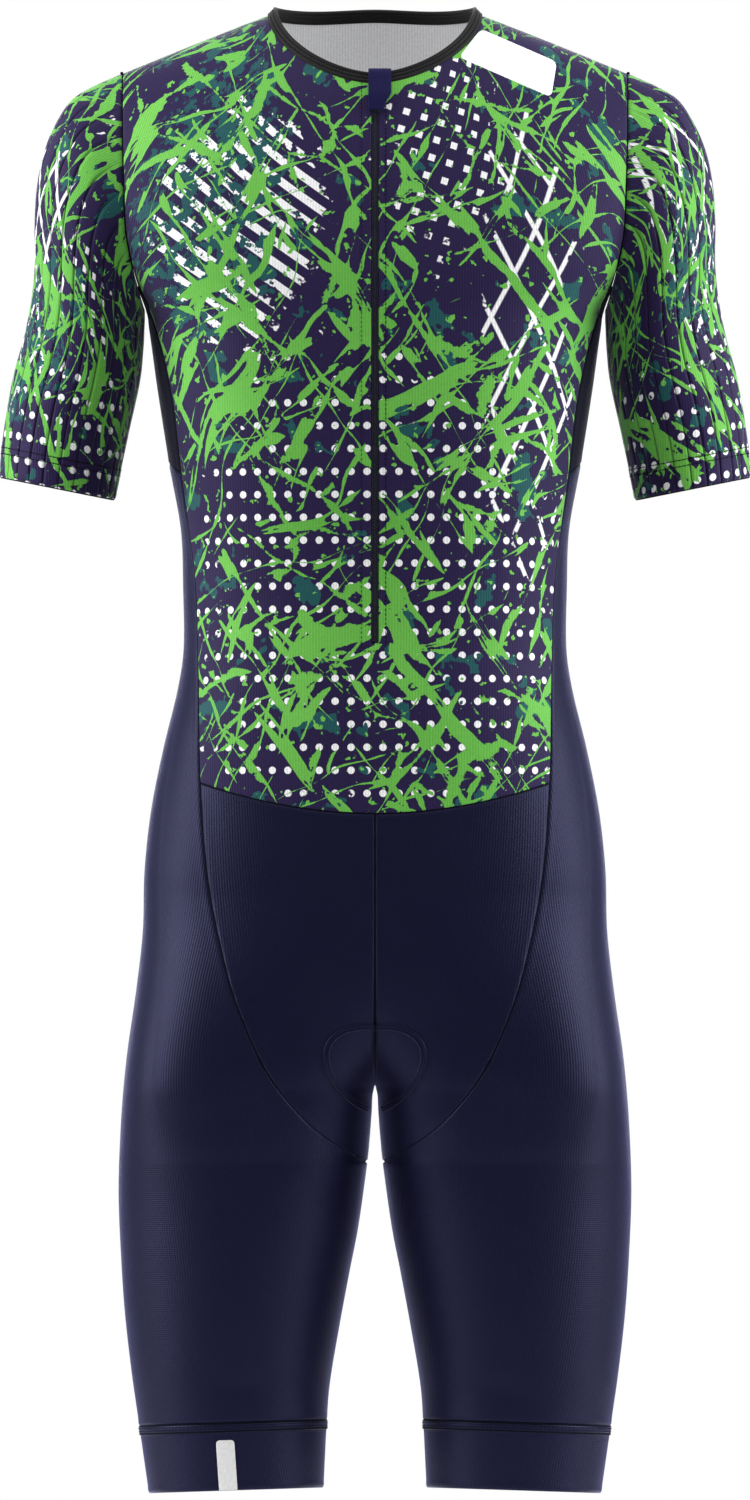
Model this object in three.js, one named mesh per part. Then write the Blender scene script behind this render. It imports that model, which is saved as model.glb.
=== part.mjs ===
// A triathlon suit in the hollow form it has when it is worn: one piece, short ribbed sleeves,
// front zip, legs to above the knee. Millimetres, +Z up, the front faces -Y, +X is the wearer's left.
// The origin lies midway between the shoulders, at the height of the shoulder line.
import * as THREE from 'three';

// Driving dimensions
const clothThickness = 1.2;
const seamGap = 0.3; // between neighbouring pieces
const chestLevel = -190; // below it the trunk stands upright, above it rounds over to the shoulders
const crotchLevel = -751.7;
const seamTipLevel = -804; // where the yoke and the seat panel end on the inseam
const waistSeamLevel = -532; // at the sides
const waistSeamDip = 22; // lower at the centre than at the sides
const sideSeamLevel = -309.3; // lower end of the underarm panel
const legBandTop = -993;
const legHem = -1041.5;
const hemTilt = 0.033; // the leg's outer side is the lower one
const centreRise = 140; // height over which the two thighs part from the trunk
const shoulder = { peak: 39.9, slope: 0.4205, rounding: 40, tip: 182 };
const armhole = { top: -21.6, bottom: -190 };
const neck = { halfWidth: 77.4, frontDrop: 48.5, frontPower: 1.7, backReach: 43.5, backPower: 2.2 };
const zip = { slotHalf: 2.6, chainHalf: 2.3, tapeHalf: 13, bottom: -431.3, top: -20.5 };

// The body's outline and depth: half width from the front view, depth before and behind the side line.
// The power of a section is 2 for an ellipse and more for a squarer one.
const bodySections = [
  { z: 45, halfWidth: 213, front: 104, back: 98, power: 2.4 },
  { z: -22, halfWidth: 212, front: 107, back: 102, power: 2.4 },
  { z: -64, halfWidth: 210, front: 110, back: 106, power: 2.4 },
  { z: -102, halfWidth: 207, front: 112, back: 108, power: 2.4 },
  { z: -135, halfWidth: 200, front: 113, back: 109, power: 2.4 },
  { z: -159, halfWidth: 189, front: 114, back: 109, power: 2.4 },
  { z: -177, halfWidth: 176, front: 114, back: 108, power: 2.4 },
  { z: -190, halfWidth: 165.6, front: 114, back: 107, power: 2.4 },
  { z: -206, halfWidth: 162.6, front: 114, back: 106, power: 2.4 },
  { z: -249, halfWidth: 156.6, front: 113, back: 101, power: 2.4 },
  { z: -307, halfWidth: 147.4, front: 108, back: 94, power: 2.4 },
  { z: -350, halfWidth: 139.8, front: 103, back: 89, power: 2.4 },
  { z: -393, halfWidth: 138.2, front: 99, back: 86, power: 2.4 },
  { z: -436, halfWidth: 137.9, front: 98, back: 88, power: 2.4 },
  { z: -465, halfWidth: 142.2, front: 99, back: 93, power: 2.4 },
  { z: -508, halfWidth: 152.6, front: 101, back: 103, power: 2.4 },
  { z: -552, halfWidth: 161.3, front: 102, back: 112, power: 2.4 },
  { z: -595, halfWidth: 166, front: 101, back: 119, power: 2.5 },
  { z: -638, halfWidth: 167.2, front: 99, back: 123, power: 2.6 },
  { z: -681, halfWidth: 172, front: 97, back: 121, power: 2.75 },
  { z: -724, halfWidth: 178.2, front: 94, back: 112, power: 2.9 },
  { z: -752, halfWidth: 181.2, front: 92, back: 104, power: 2.9 },
  { z: -782, halfWidth: 183.3, front: 90, back: 97, power: 2.6 },
  { z: -825, halfWidth: 184.7, front: 87, back: 91, power: 2.25 },
  { z: -868, halfWidth: 183.2, front: 84, back: 86, power: 2.15 },
  { z: -912, halfWidth: 180.2, front: 80, back: 81, power: 2.1 },
  { z: -955, halfWidth: 175.2, front: 75, back: 75, power: 2.1 },
  { z: -984, halfWidth: 171, front: 71, back: 71, power: 2.1 },
  { z: -1012, halfWidth: 167, front: 67.5, back: 67.5, power: 2.1 },
  { z: -1044, halfWidth: 162.4, front: 64, back: 64, power: 2.1 },
];

// The inner side of a leg, as the distance from the centre line, below the crotch
const inseam = [
  { z: -751.7, x: 0.15 },
  { z: -754, x: 1.7 },
  { z: -768, x: 2.5 },
  { z: -796, x: 4.7 },
  { z: -825, x: 8.3 },
  { z: -854, x: 12.6 },
  { z: -883, x: 18.3 },
  { z: -926, x: 26.1 },
  { z: -969, x: 33 },
  { z: -998, x: 34.9 },
  { z: -1044, x: 37.2 },
];

// The seam between the front pieces and the side pieces, seen from the front
const frontSeam = [
  { z: -165.3, x: 173.2 },
  { z: -207, x: 157.3 },
  { z: -255, x: 146.2 },
  { z: -309.3, x: 139.7 },
  { z: -384, x: 130 },
  { z: -454, x: 127.6 },
  { z: -532, x: 126.1 },
  { z: -602, x: 120.6 },
  { z: -663, x: 108.4 },
  { z: -699, x: 97.3 },
  { z: -741.6, x: 77.5 },
  { z: -771.8, x: 53.5 },
  { z: -788, x: 34.5 },
  { z: -804, x: 5.7 },
];

// The armhole seam, seen from the front
const armholeSeam = [
  { z: -21.6, x: 182 },
  { z: -64, x: 182 },
  { z: -102, x: 181 },
  { z: -135, x: 179.4 },
  { z: -159, x: 174.9 },
  { z: -177, x: 169.8 },
  { z: -190, x: 165.6 },
];

// The sleeve: the ends of each ring on its upper and under side, its half depth, how closely the ring
// still keeps to the armhole, and the share of the ribs' height
const sleeveSections = [
  { topX: 182, topZ: -21.6, underX: 165.6, underZ: -190, depth: 56, keep: 1, rib: 0 },
  { topX: 200.5, topZ: -30, underX: 166, underZ: -194, depth: 57.5, keep: 0.9, rib: 0.5 },
  { topX: 217.5, topZ: -41, underX: 166.4, underZ: -199, depth: 59, keep: 0.72, rib: 1 },
  { topX: 229.5, topZ: -59, underX: 166.8, underZ: -206, depth: 60, keep: 0.5, rib: 1 },
  { topX: 238, topZ: -80, underX: 167.2, underZ: -215, depth: 60.5, keep: 0.28, rib: 1 },
  { topX: 242.6, topZ: -104, underX: 168, underZ: -225, depth: 60.5, keep: 0.12, rib: 1 },
  { topX: 244.2, topZ: -130, underX: 169, underZ: -236, depth: 59.5, keep: 0.03, rib: 1 },
  { topX: 244, topZ: -157, underX: 171, underZ: -248, depth: 58, keep: 0, rib: 1 },
  { topX: 246.5, topZ: -184, underX: 173.6, underZ: -260, depth: 56, keep: 0, rib: 1 },
  { topX: 251.8, topZ: -211, underX: 176.6, underZ: -273, depth: 53.5, keep: 0, rib: 1 },
  { topX: 259, topZ: -237, underX: 179.6, underZ: -287, depth: 51.5, keep: 0, rib: 1 },
  { topX: 264, topZ: -263, underX: 182.6, underZ: -301, depth: 49.5, keep: 0, rib: 1 },
  { topX: 267.6, topZ: -288, underX: 185.4, underZ: -315, depth: 48, keep: 0, rib: 1 },
  { topX: 269.2, topZ: -312, underX: 188.2, underZ: -328, depth: 46.5, keep: 0, rib: 1 },
];
const ribs = { count: 24, height: 0.9 };

// The stitched outline of the seat pad on the yoke, seen from the front
const padOutline = [
  { x: 0.9, z: -707.8 },
  { x: 11, z: -708 },
  { x: 21.3, z: -710.2 },
  { x: 30, z: -715.6 },
  { x: 34.4, z: -723 },
  { x: 35, z: -731.3 },
  { x: 32.9, z: -739.6 },
  { x: 28.7, z: -747.9 },
  { x: 21.3, z: -757 },
  { x: 13, z: -763.4 },
  { x: 6, z: -766.8 },
];
const padSeam = { halfWidth: 2.3, gap: 0.5, height: 1 };

// Materials
const fabric = (color) => new THREE.MeshStandardMaterial({ color, roughness: 0.75, metalness: 0 });
const printCloth = fabric(0x3f7f45);
const navyCloth = fabric(0x1f1f3d);
const darkCloth = fabric(0x14141c);
const bindingCloth = fabric(0x19191b);
const garageCloth = fabric(0x16124a);
const whiteCloth = fabric(0xf2f2f2);
const zipNylon = new THREE.MeshStandardMaterial({ color: 0x101012, roughness: 0.45, metalness: 0 });

// Helpers
const { clamp, degToRad, lerp, smoothstep } = THREE.MathUtils;
const signedPower = (value, power) => Math.sign(value) * Math.abs(value) ** power;
const point = (x, y, z) => new THREE.Vector3(x, y, z);
const span = (from, to, cells) => Array.from({ length: cells + 1 }, (_, k) => lerp(from, to, k / cells));

// Reads a table between its rows along a smooth curve. The rows run down in z.
function tableOf(rows) {
  const columns = Object.keys(rows[0]).filter((name) => name !== 'z');
  const last = rows.length - 1;
  return (z) => {
    const found = rows.findIndex((row) => row.z <= z);
    const k = clamp(found < 0 ? last : found, 1, last);
    const [before, upper, lower, after] = [rows[Math.max(k - 2, 0)], rows[k - 1], rows[k], rows[Math.min(k + 1, last)]];
    const length = lower.z - upper.z;
    const t = clamp((z - upper.z) / length, 0, 1);
    const read = (name) => {
      const slopeUpper = ((lower[name] - before[name]) / (lower.z - before.z)) * length;
      const slopeLower = ((after[name] - upper[name]) / (after.z - upper.z)) * length;
      const rise = lower[name] - upper[name];
      const curve = slopeUpper * t * (1 - t) ** 2 - slopeLower * t ** 2 * (1 - t);
      return upper[name] + rise * t ** 2 * (3 - 2 * t) + curve;
    };
    return Object.fromEntries(columns.map((name) => [name, read(name)]));
  };
}
const bodyAt = tableOf(bodySections);
const inseamAt = tableOf(inseam);
const frontSeamAt = tableOf(frontSeam);
const armholeAt = tableOf(armholeSeam);

// The body's skin, wearer's left half

// The ring of the left half at a height: its middle, its reach from there to the side, and its tilt.
// Above the crotch the middle moves in to the centre line, so that the two halves become one trunk.
function ringAt(z) {
  const { halfWidth, front, back, power } = bodyAt(z);
  const tilt = hemTilt * smoothstep(-z, 860, 990);
  if (z < crotchLevel) {
    const { x } = inseamAt(z);
    return { middle: (halfWidth + x) / 2, reach: (halfWidth - x) / 2, front, back, power, tilt };
  }
  const parting = Math.max(0, 1 - (z - crotchLevel) / centreRise) ** 1.3;
  const width = halfWidth - seamGap / 2;
  const middle = seamGap / 2 + (width * parting) / (1 + parting);
  return { middle, reach: width / (1 + parting), front, back, power, tilt };
}

const ridgeAt = (x) => shoulder.peak - shoulder.slope * (Math.hypot(x, shoulder.rounding) - shoulder.rounding);

// How far the depth shrinks towards the shoulder ridge: the trunk's profile is a quarter ellipse
function shoulderRounding(x, z) {
  const rise = clamp((z - chestLevel) / (ridgeAt(x) - chestLevel), 0, 1);
  return Math.sqrt(1 - rise ** 2);
}

// A point of the skin. Angle 0 is the side, negative in front, positive behind, 180 degrees the inseam.
function skin(z, angle) {
  const { middle, reach, front, back, power, tilt } = ringAt(z);
  const x = middle + reach * signedPower(Math.cos(angle), 2 / power);
  const depth = angle < 0 ? front : back;
  const y = depth * signedPower(Math.sin(angle), 2 / power) * shoulderRounding(x, z);
  return point(x, y, z - tilt * (x - middle));
}

// The angle in front (side -1) or behind (side 1) at which the ring has a given x
function angleAt(z, x, side = -1) {
  const { middle, reach, power } = ringAt(z);
  const cosine = signedPower(clamp((x - middle) / reach, -1, 1), power / 2);
  return side * Math.acos(cosine);
}

// The skin over the shoulders: lift 0 is the chest level in front, 90 degrees the shoulder ridge
// and 180 degrees the chest level behind
function shoulderSkin(x, lift) {
  const z = chestLevel + (ridgeAt(x) - chestLevel) * Math.sin(lift);
  const { halfWidth, front, back, power } = bodyAt(z);
  const depth = lift < Math.PI / 2 ? front : back;
  const y = -depth * Math.cos(lift) * (1 - clamp(Math.abs(x) / halfWidth, 0, 1) ** power) ** (1 / power);
  return point(x, y, z);
}
const liftAt = (x, z, side = -1) => {
  const lift = Math.asin(clamp((z - chestLevel) / (ridgeAt(x) - chestLevel), 0, 1));
  return side < 0 ? lift : Math.PI - lift;
};

// A vertex keeps its place and the outward direction of the skin there
function vertexOn(surface, first, second, stepFirst, stepSecond) {
  const alongFirst = surface(first + stepFirst, second).sub(surface(first - stepFirst, second));
  const alongSecond = surface(first, second + stepSecond).sub(surface(first, second - stepSecond));
  return { place: surface(first, second), out: alongFirst.cross(alongSecond).normalize() };
}
const skinVertex = (z, angle) => {
  const vertex = vertexOn(skin, z, angle, 0.4, 0.01);
  vertex.out.negate();
  return vertex;
};
const shoulderVertex = (x, lift) => vertexOn(shoulderSkin, x, lift, 0.4, 0.01);
const mirroredVertex = ({ place, out, lift }) => ({
  place: point(-place.x, place.y, place.z),
  out: point(-out.x, out.y, out.z),
  lift,
});

// Cloth walls

// Gives each vertex of a grid the outward direction that its neighbours show
function withDirections(rows, closed = false) {
  const lastRow = rows.length - 1;
  return rows.map((row, i) => row.map((vertex, j) => {
    const count = row.length;
    const next = closed ? (j + 1) % (count - 1) : Math.min(j + 1, count - 1);
    const previous = closed ? (j - 1 + count - 1) % (count - 1) : Math.max(j - 1, 0);
    const across = row[next].place.clone().sub(row[previous].place);
    const down = rows[Math.min(i + 1, lastRow)][j].place.clone().sub(rows[Math.max(i - 1, 0)][j].place);
    return { ...vertex, out: across.cross(down).normalize() };
  }));
}

// The triangles between two rows of { id, at }, also where one row has more vertices than the other:
// the row whose next vertex comes first across the panel is the one that moves on
function bridge(upper, lower, keepColumn = () => true) {
  const triangles = [];
  let i = 0;
  let j = 0;
  while (i < upper.length - 1 || j < lower.length - 1) {
    const nextUpper = upper[i + 1]?.at ?? Infinity;
    const nextLower = lower[j + 1]?.at ?? Infinity;
    const third = nextUpper <= nextLower ? upper[i + 1] : lower[j + 1];
    if (keepColumn(j)) triangles.push([upper[i].id, lower[j].id, third.id]);
    if (nextUpper <= nextLower) i += 1;
    else j += 1;
  }
  return triangles;
}

// A closed wall from a grid of vertices: an outer face, an inner face one thickness behind it and a
// rim round every edge. A vertex with a lift stands that much proud on the outside alone.
function clothWall(rows, { thickness = clothThickness, inset = seamGap / 2, keepCell = () => true } = {}) {
  const vertices = [];
  const indexOf = new Map();
  const ids = rows.map((row) => row.map((vertex, j) => {
    const key = vertex.place.toArray().map((value) => value.toFixed(3)).join();
    if (!indexOf.has(key)) indexOf.set(key, vertices.push({ ...vertex }) - 1);
    return { id: indexOf.get(key), at: vertex.angle ?? j / (row.length - 1) };
  }));
  let outer = [];
  for (let i = 0; i < ids.length - 1; i += 1) {
    outer.push(...bridge(ids[i], ids[i + 1], (column) => keepCell(i, column)));
  }
  outer = outer.filter(([a, b, c]) => a !== b && b !== c && c !== a);
  const facing = outer.reduce((sum, [a, b, c]) => {
    const side = vertices[b].place.clone().sub(vertices[a].place);
    const other = vertices[c].place.clone().sub(vertices[a].place);
    return sum + side.cross(other).dot(vertices[a].out);
  }, 0);
  if (facing < 0) outer = outer.map(([a, b, c]) => [a, c, b]);

  const edges = new Map();
  for (const [a, b, c] of outer) {
    for (const [from, to] of [[a, b], [b, c], [c, a]]) edges.set(`${from},${to}`, [from, to]);
  }
  const rim = [...edges.values()].filter(([from, to]) => !edges.has(`${to},${from}`));
  const inwards = vertices.map(() => point(0, 0, 0));
  for (const [from, to] of rim) {
    for (const end of [from, to]) {
      const along = vertices[to].place.clone().sub(vertices[from].place).normalize();
      inwards[end].add(vertices[end].out.clone().cross(along));
    }
  }
  const positions = [];
  const place = ({ place: base, out }, k, offset) => {
    const shift = inwards[k].lengthSq() > 0 ? inwards[k].clone().setLength(inset) : inwards[k];
    positions.push(...base.clone().addScaledVector(out, offset).add(shift).toArray());
  };
  vertices.forEach((vertex, k) => place(vertex, k, vertex.lift ?? 0));
  vertices.forEach((vertex, k) => place(vertex, k, -thickness));
  const inner = vertices.length;
  const triangles = [
    ...outer,
    ...outer.map(([a, b, c]) => [a + inner, c + inner, b + inner]),
    ...rim.flatMap(([from, to]) => [[to, from, from + inner], [to, from + inner, to + inner]]),
  ];
  return geometryOf(positions, triangles);
}

function geometryOf(positions, triangles) {
  const geometry = new THREE.BufferGeometry();
  geometry.setAttribute('position', new THREE.Float32BufferAttribute(positions, 3));
  geometry.setIndex(triangles.flat());
  geometry.computeVertexNormals();
  return geometry;
}

// The same geometry on the wearer's right
function mirrored(geometry) {
  const positions = [...geometry.getAttribute('position').array].map((value, k) => (k % 3 === 0 ? -value : value));
  const index = [...geometry.getIndex().array];
  const triangles = [];
  for (let k = 0; k < index.length; k += 3) triangles.push([index[k], index[k + 2], index[k + 1]]);
  return geometryOf(positions, triangles);
}

const suit = new THREE.Group();
suit.name = 'triathlon_suit';

function addPiece(name, geometry, material) {
  const mesh = new THREE.Mesh(geometry, material);
  mesh.name = name;
  suit.add(mesh);
}
function addPair(name, geometry, material) {
  addPiece(`${name}_left`, geometry, material);
  addPiece(`${name}_right`, mirrored(geometry), material);
}

// Shared stations

// Stations round the armhole, in steps of 15 degrees from the shoulder tip down to the armpit
const armholeStep = 15;
const armholeCorner = 135; // where the front seam meets the armhole
function armholePoint(degrees) {
  const middle = (armhole.top + armhole.bottom) / 2;
  const z = middle + ((armhole.top - armhole.bottom) / 2) * Math.cos(degToRad(degrees));
  return { x: armholeAt(z).x, z, side: degrees <= 180 ? -1 : 1 };
}
const cornerLevel = armholePoint(armholeCorner).z;

// Rows of the trunk's panels, from the armhole's corner down to the waist seam, and how far each
// row dips at the centre
const trunkRows = [
  { z: cornerLevel, dip: 0 },
  { z: chestLevel, dip: 0 },
  { z: -218, dip: 0 },
  { z: -248, dip: 0 },
  { z: -279, dip: 0 },
  { z: sideSeamLevel, dip: 0 },
  { z: -340, dip: 0 },
  { z: -370, dip: 0 },
  { z: -401, dip: 0 },
  { z: zip.bottom, dip: 0 },
  { z: -460, dip: 2 },
  { z: -486, dip: 7 },
  { z: -510, dip: 14 },
  { z: waistSeamLevel, dip: waistSeamDip },
];
// Columns of the printed panels, as shares of the width from the centre to the seam
const frontShares = [0, zip.slotHalf / 126.1, 0.13, 0.27, 0.4, 0.52, 0.64, 0.76, 0.88, 1];
const upperCells = armholeCorner / armholeStep;
const neckAngles = [66, 46, 28, 12, 0]; // stations of the front neckline, from the zip to the shoulder
const shoulderStations = [112, 147, shoulder.tip];

// The height of the waist seam and of the rows near it, at a share of the width
const rowHeight = ({ z, dip }, share) => z - dip * (1 - share ** 2);

const frontNeckX = [0, zip.slotHalf, ...neckAngles.map((degrees) =>
  neck.halfWidth * Math.cos(degToRad(degrees)) ** (2 / neck.frontPower))];
function frontNeckHeight(x) {
  const share = 1 - (x / neck.halfWidth) ** neck.frontPower;
  return ridgeAt(neck.halfWidth) - neck.frontDrop * share ** (1 / neck.frontPower);
}
// The back neckline is drawn in plan: from the shoulder seam backwards to the centre
function backNeckLift(x) {
  const reach = neck.backReach * (1 - (x / neck.halfWidth) ** neck.backPower) ** (1 / neck.backPower);
  let lift = degToRad(115);
  for (let round = 0; round < 12; round += 1) {
    const depth = shoulderSkin(x, lift).y / -Math.cos(lift);
    lift = Math.acos(-reach / depth);
  }
  return lift;
}

// The part of a printed panel above the armhole's corner, drawn between its four edges: the corner
// row below, the neckline and the shoulder seam above, the centre line and the armhole at the sides.
function upperRows(bottom, top, side) {
  const last = bottom.length - 1;
  const armEdge = span(armholeCorner, 0, upperCells).map((degrees) => {
    const { x, z } = armholePoint(degrees);
    return { x, lift: liftAt(x, z, side) };
  });
  const centreEdge = span(bottom[0].lift, top[0].lift, upperCells).map((lift) => ({ x: 0, lift }));
  return centreEdge.map((centre, i) => {
    const up = i / upperCells;
    return bottom.map((low, j) => {
      const across = low.x / bottom[last].x;
      const blend = (name) => {
        const corners = (1 - across) * ((1 - up) * bottom[0][name] + up * top[0][name])
          + across * ((1 - up) * bottom[last][name] + up * top[last][name]);
        return (1 - up) * low[name] + up * top[j][name]
          + (1 - across) * centre[name] + across * armEdge[i][name] - corners;
      };
      const x = side < 0 && j === 1 ? zip.slotHalf : blend('x');
      return shoulderVertex(x, blend('lift'));
    });
  });
}

// Half of a printed panel, from the neck down to the waist seam. Side -1 is the front, 1 the back.
function printedHalf(shares, topX, topLift, side) {
  const xAt = (share, j, z) => (side < 0 && j === 1 ? zip.slotHalf : share * frontSeamAt(z).x);
  const cornerX = shares.map((share, j) => xAt(share, j, cornerLevel));
  const bottom = cornerX.map((x) => ({ x, lift: liftAt(x, cornerLevel, side) }));
  const top = topX.map((x, j) => ({ x, lift: topLift[j] }));
  const above = upperRows(bottom, top, side).reverse();
  const below = trunkRows.slice(1).map((row) => shares.map((share, j) => {
    const z = rowHeight(row, share);
    return skinVertex(z, angleAt(z, xAt(share, j, z), side));
  }));
  return [...above, ...below];
}
const bothHalves = (rows) => rows.map((row) => [...row.slice(1).reverse().map(mirroredVertex), ...row]);

// Printed front with the slit for the zip
const shoulderLift = Math.PI / 2;
const frontTopX = [...frontNeckX, ...shoulderStations];
const frontTopLift = frontTopX.map((x) => (x < neck.halfWidth - 0.01 ? liftAt(x, frontNeckHeight(x)) : shoulderLift));
const frontRows = bothHalves(printedHalf(frontShares, frontTopX, frontTopLift, -1));
const frontCells = frontShares.length - 1;
const slitRows = upperCells + trunkRows.findIndex(({ z }) => z === zip.bottom);
const outsideSlit = (i, column) => i >= slitRows || (column !== frontCells - 1 && column !== frontCells);
addPiece('front_print', clothWall(frontRows, { keepCell: outsideSlit }), printCloth);

// Printed back
const backNeckX = [0, 22, 43, 61, 73, neck.halfWidth];
const backShares = [0, 0.14, 0.28, 0.41, 0.53, 0.65, 0.77, 0.89, 1];
const backTopX = [...backNeckX, ...shoulderStations];
const backTopLift = backTopX.map((x) => (x < neck.halfWidth - 0.01 ? backNeckLift(x) : shoulderLift));
const backRows = bothHalves(printedHalf(backShares, backTopX, backTopLift, 1));
addPiece('back_print', clothWall(backRows), printCloth);

// Underarm panel: its upper edge is the lower part of the armhole
const sideSeamRise = 6.9; // the dark seam is higher at the side than at the front seam
const underarmCells = (2 * (180 - armholeCorner)) / armholeStep;
const underarmTop = span(armholeCorner, 360 - armholeCorner, underarmCells).map(armholePoint);
const sideSeamHeight = (share) => sideSeamLevel + sideSeamRise * (1 - (2 * share - 1) ** 2);
const underarmRows = trunkRows.slice(0, 6).map(({ z: level }, i, { length }) => {
  const down = i / (length - 1);
  return underarmTop.map((top, j) => {
    const share = j / underarmCells;
    const cornerLine = top.z - cornerLevel;
    const z = level + cornerLine * (1 - down) + (sideSeamHeight(share) - sideSeamLevel) * down;
    const edge = angleAt(level, frontSeamAt(level).x);
    const topAngle = angleAt(top.z, top.x, top.side);
    const topEdge = angleAt(cornerLevel, frontSeamAt(cornerLevel).x);
    const bow = (topAngle - lerp(topEdge, -topEdge, share)) * (1 - down);
    return skinVertex(z, lerp(edge, -edge, share) + bow);
  });
});
addPair('underarm', clothWall(underarmRows), darkCloth);

// Side and leg panel: an open strip down to the seam's tip, a closed tube below it. Its columns keep
// their angles from the waist to the hem, and the seams cut them off.
const panelAngles = [0, 8, 17, 28, 40, 53, 67, 82, 97, 112, 127, 142, 157, 170].map(degToRad);
const narrowest = degToRad(5);
const hipLevels = [-566, -600, -633, -664, -692, -717, -737, crotchLevel];
const gussetLevels = [-758, -768, -779, -789, -797, seamTipLevel];
const legLevels = [-832, -862, -894, -927, -960, legBandTop];
const angledVertex = (level, angle) => ({ ...skinVertex(level, angle), angle });
function ringRow(level, edge) {
  const half = panelAngles.filter((angle) => angle < edge - narrowest);
  const angles = [-edge, ...half.slice(1).map((angle) => -angle).reverse(), ...half, edge];
  return angles.map((angle) => angledVertex(level, angle));
}
const seamRow = (level) => ringRow(level, -angleAt(level, frontSeamAt(level).x));
const tubeRow = (level) => {
  const row = ringRow(level, Math.PI);
  row[row.length - 1] = { ...row[0], angle: Math.PI };
  return row;
};
const sideSeamEdge = angleAt(sideSeamLevel, frontSeamAt(sideSeamLevel).x);
const sideSeamRow = span(0, 1, underarmCells).map((share) =>
  angledVertex(sideSeamHeight(share), lerp(sideSeamEdge, -sideSeamEdge, share)));
const legRows = [
  sideSeamRow,
  ...trunkRows.slice(6).map(({ z }) => seamRow(z)),
  ...[...hipLevels, ...gussetLevels.slice(0, -1)].map(seamRow),
  ...[seamTipLevel, ...legLevels].map(tubeRow),
];
addPair('leg', clothWall(legRows), navyCloth);

// Leg band: its upper edge is raised by the double seam
const bandSeam = { height: 5.5, lift: 0.7 };
const bandLevels = [
  { z: legBandTop, lift: bandSeam.lift },
  { z: legBandTop - bandSeam.height, lift: bandSeam.lift },
  { z: legBandTop - bandSeam.height - 1.5, lift: 0 },
  { z: (legBandTop + legHem) / 2, lift: 0 },
  { z: legHem, lift: 0 },
];
const bandRows = bandLevels.map(({ z, lift }) => tubeRow(z).map((vertex) => ({ ...vertex, lift })));
addPair('band', clothWall(bandRows), navyCloth);

// Yoke in front and seat panel behind: they meet their twins at the centre and each other at the inseam
const yokeShares = frontShares.filter((share, j) => j !== 1);
const seatShares = backShares;
function lowerPanel(shares, side) {
  const centreAngle = (z) => (z >= crotchLevel ? angleAt(z, seamGap / 2, side) : side * Math.PI);
  const seamAngle = (z) => angleAt(z, frontSeamAt(z).x, side);
  const waist = shares.map((share) => {
    const z = rowHeight({ z: waistSeamLevel, dip: waistSeamDip }, share);
    const angle = angleAt(z, Math.max(share * frontSeamAt(z).x, seamGap / 2), side);
    return (angle - centreAngle(z)) / (seamAngle(z) - centreAngle(z));
  });
  const dips = [waistSeamDip, 12, 4];
  const upper = [waistSeamLevel, ...hipLevels].map((level, i) => waist.map((part, j) => {
    const z = rowHeight({ z: level, dip: dips[i] ?? 0 }, shares[j]);
    return skinVertex(z, lerp(centreAngle(z), seamAngle(z), part));
  }));
  const gussetCells = 4;
  const gusset = gussetLevels.slice(0, -1).map((level) => span(0, 1, gussetCells).map((part) =>
    skinVertex(level, lerp(centreAngle(level), seamAngle(level), part))));
  return [...upper, ...gusset, [skinVertex(seamTipLevel, side * Math.PI)]];
}
addPair('yoke', clothWall(lowerPanel(yokeShares, -1)), navyCloth);
addPair('seat', clothWall(lowerPanel(seatShares, 1)), navyCloth);

// Sleeve: ribs run from the armhole to the hem, raised on the outside over a plain inside
const sleeveRoot = (degrees) => {
  const { x, z, side } = armholePoint(degrees);
  return skin(z, angleAt(z, x, side)).add(point(seamGap, 0, 0));
};
function sleeveRing(section, degrees) {
  const { topX, topZ, underX, underZ, depth } = section;
  const angle = degToRad(degrees);
  const along = Math.cos(angle) / 2;
  const x = (topX + underX) / 2 + along * (topX - underX);
  const z = (topZ + underZ) / 2 + along * (topZ - underZ);
  return point(x, -depth * Math.sin(angle), z);
}
function sleeveRows(columns, sections = sleeveSections) {
  const rows = sections.map((section) => span(0, 360, columns).map((degrees) => {
    const fit = sleeveRoot(degrees % 360).sub(sleeveRing(sleeveSections[0], degrees));
    return { place: sleeveRing(section, degrees).addScaledVector(fit, section.keep) };
  }));
  rows.forEach((row) => { row[columns] = row[0]; });
  return withDirections(rows, true);
}
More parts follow.
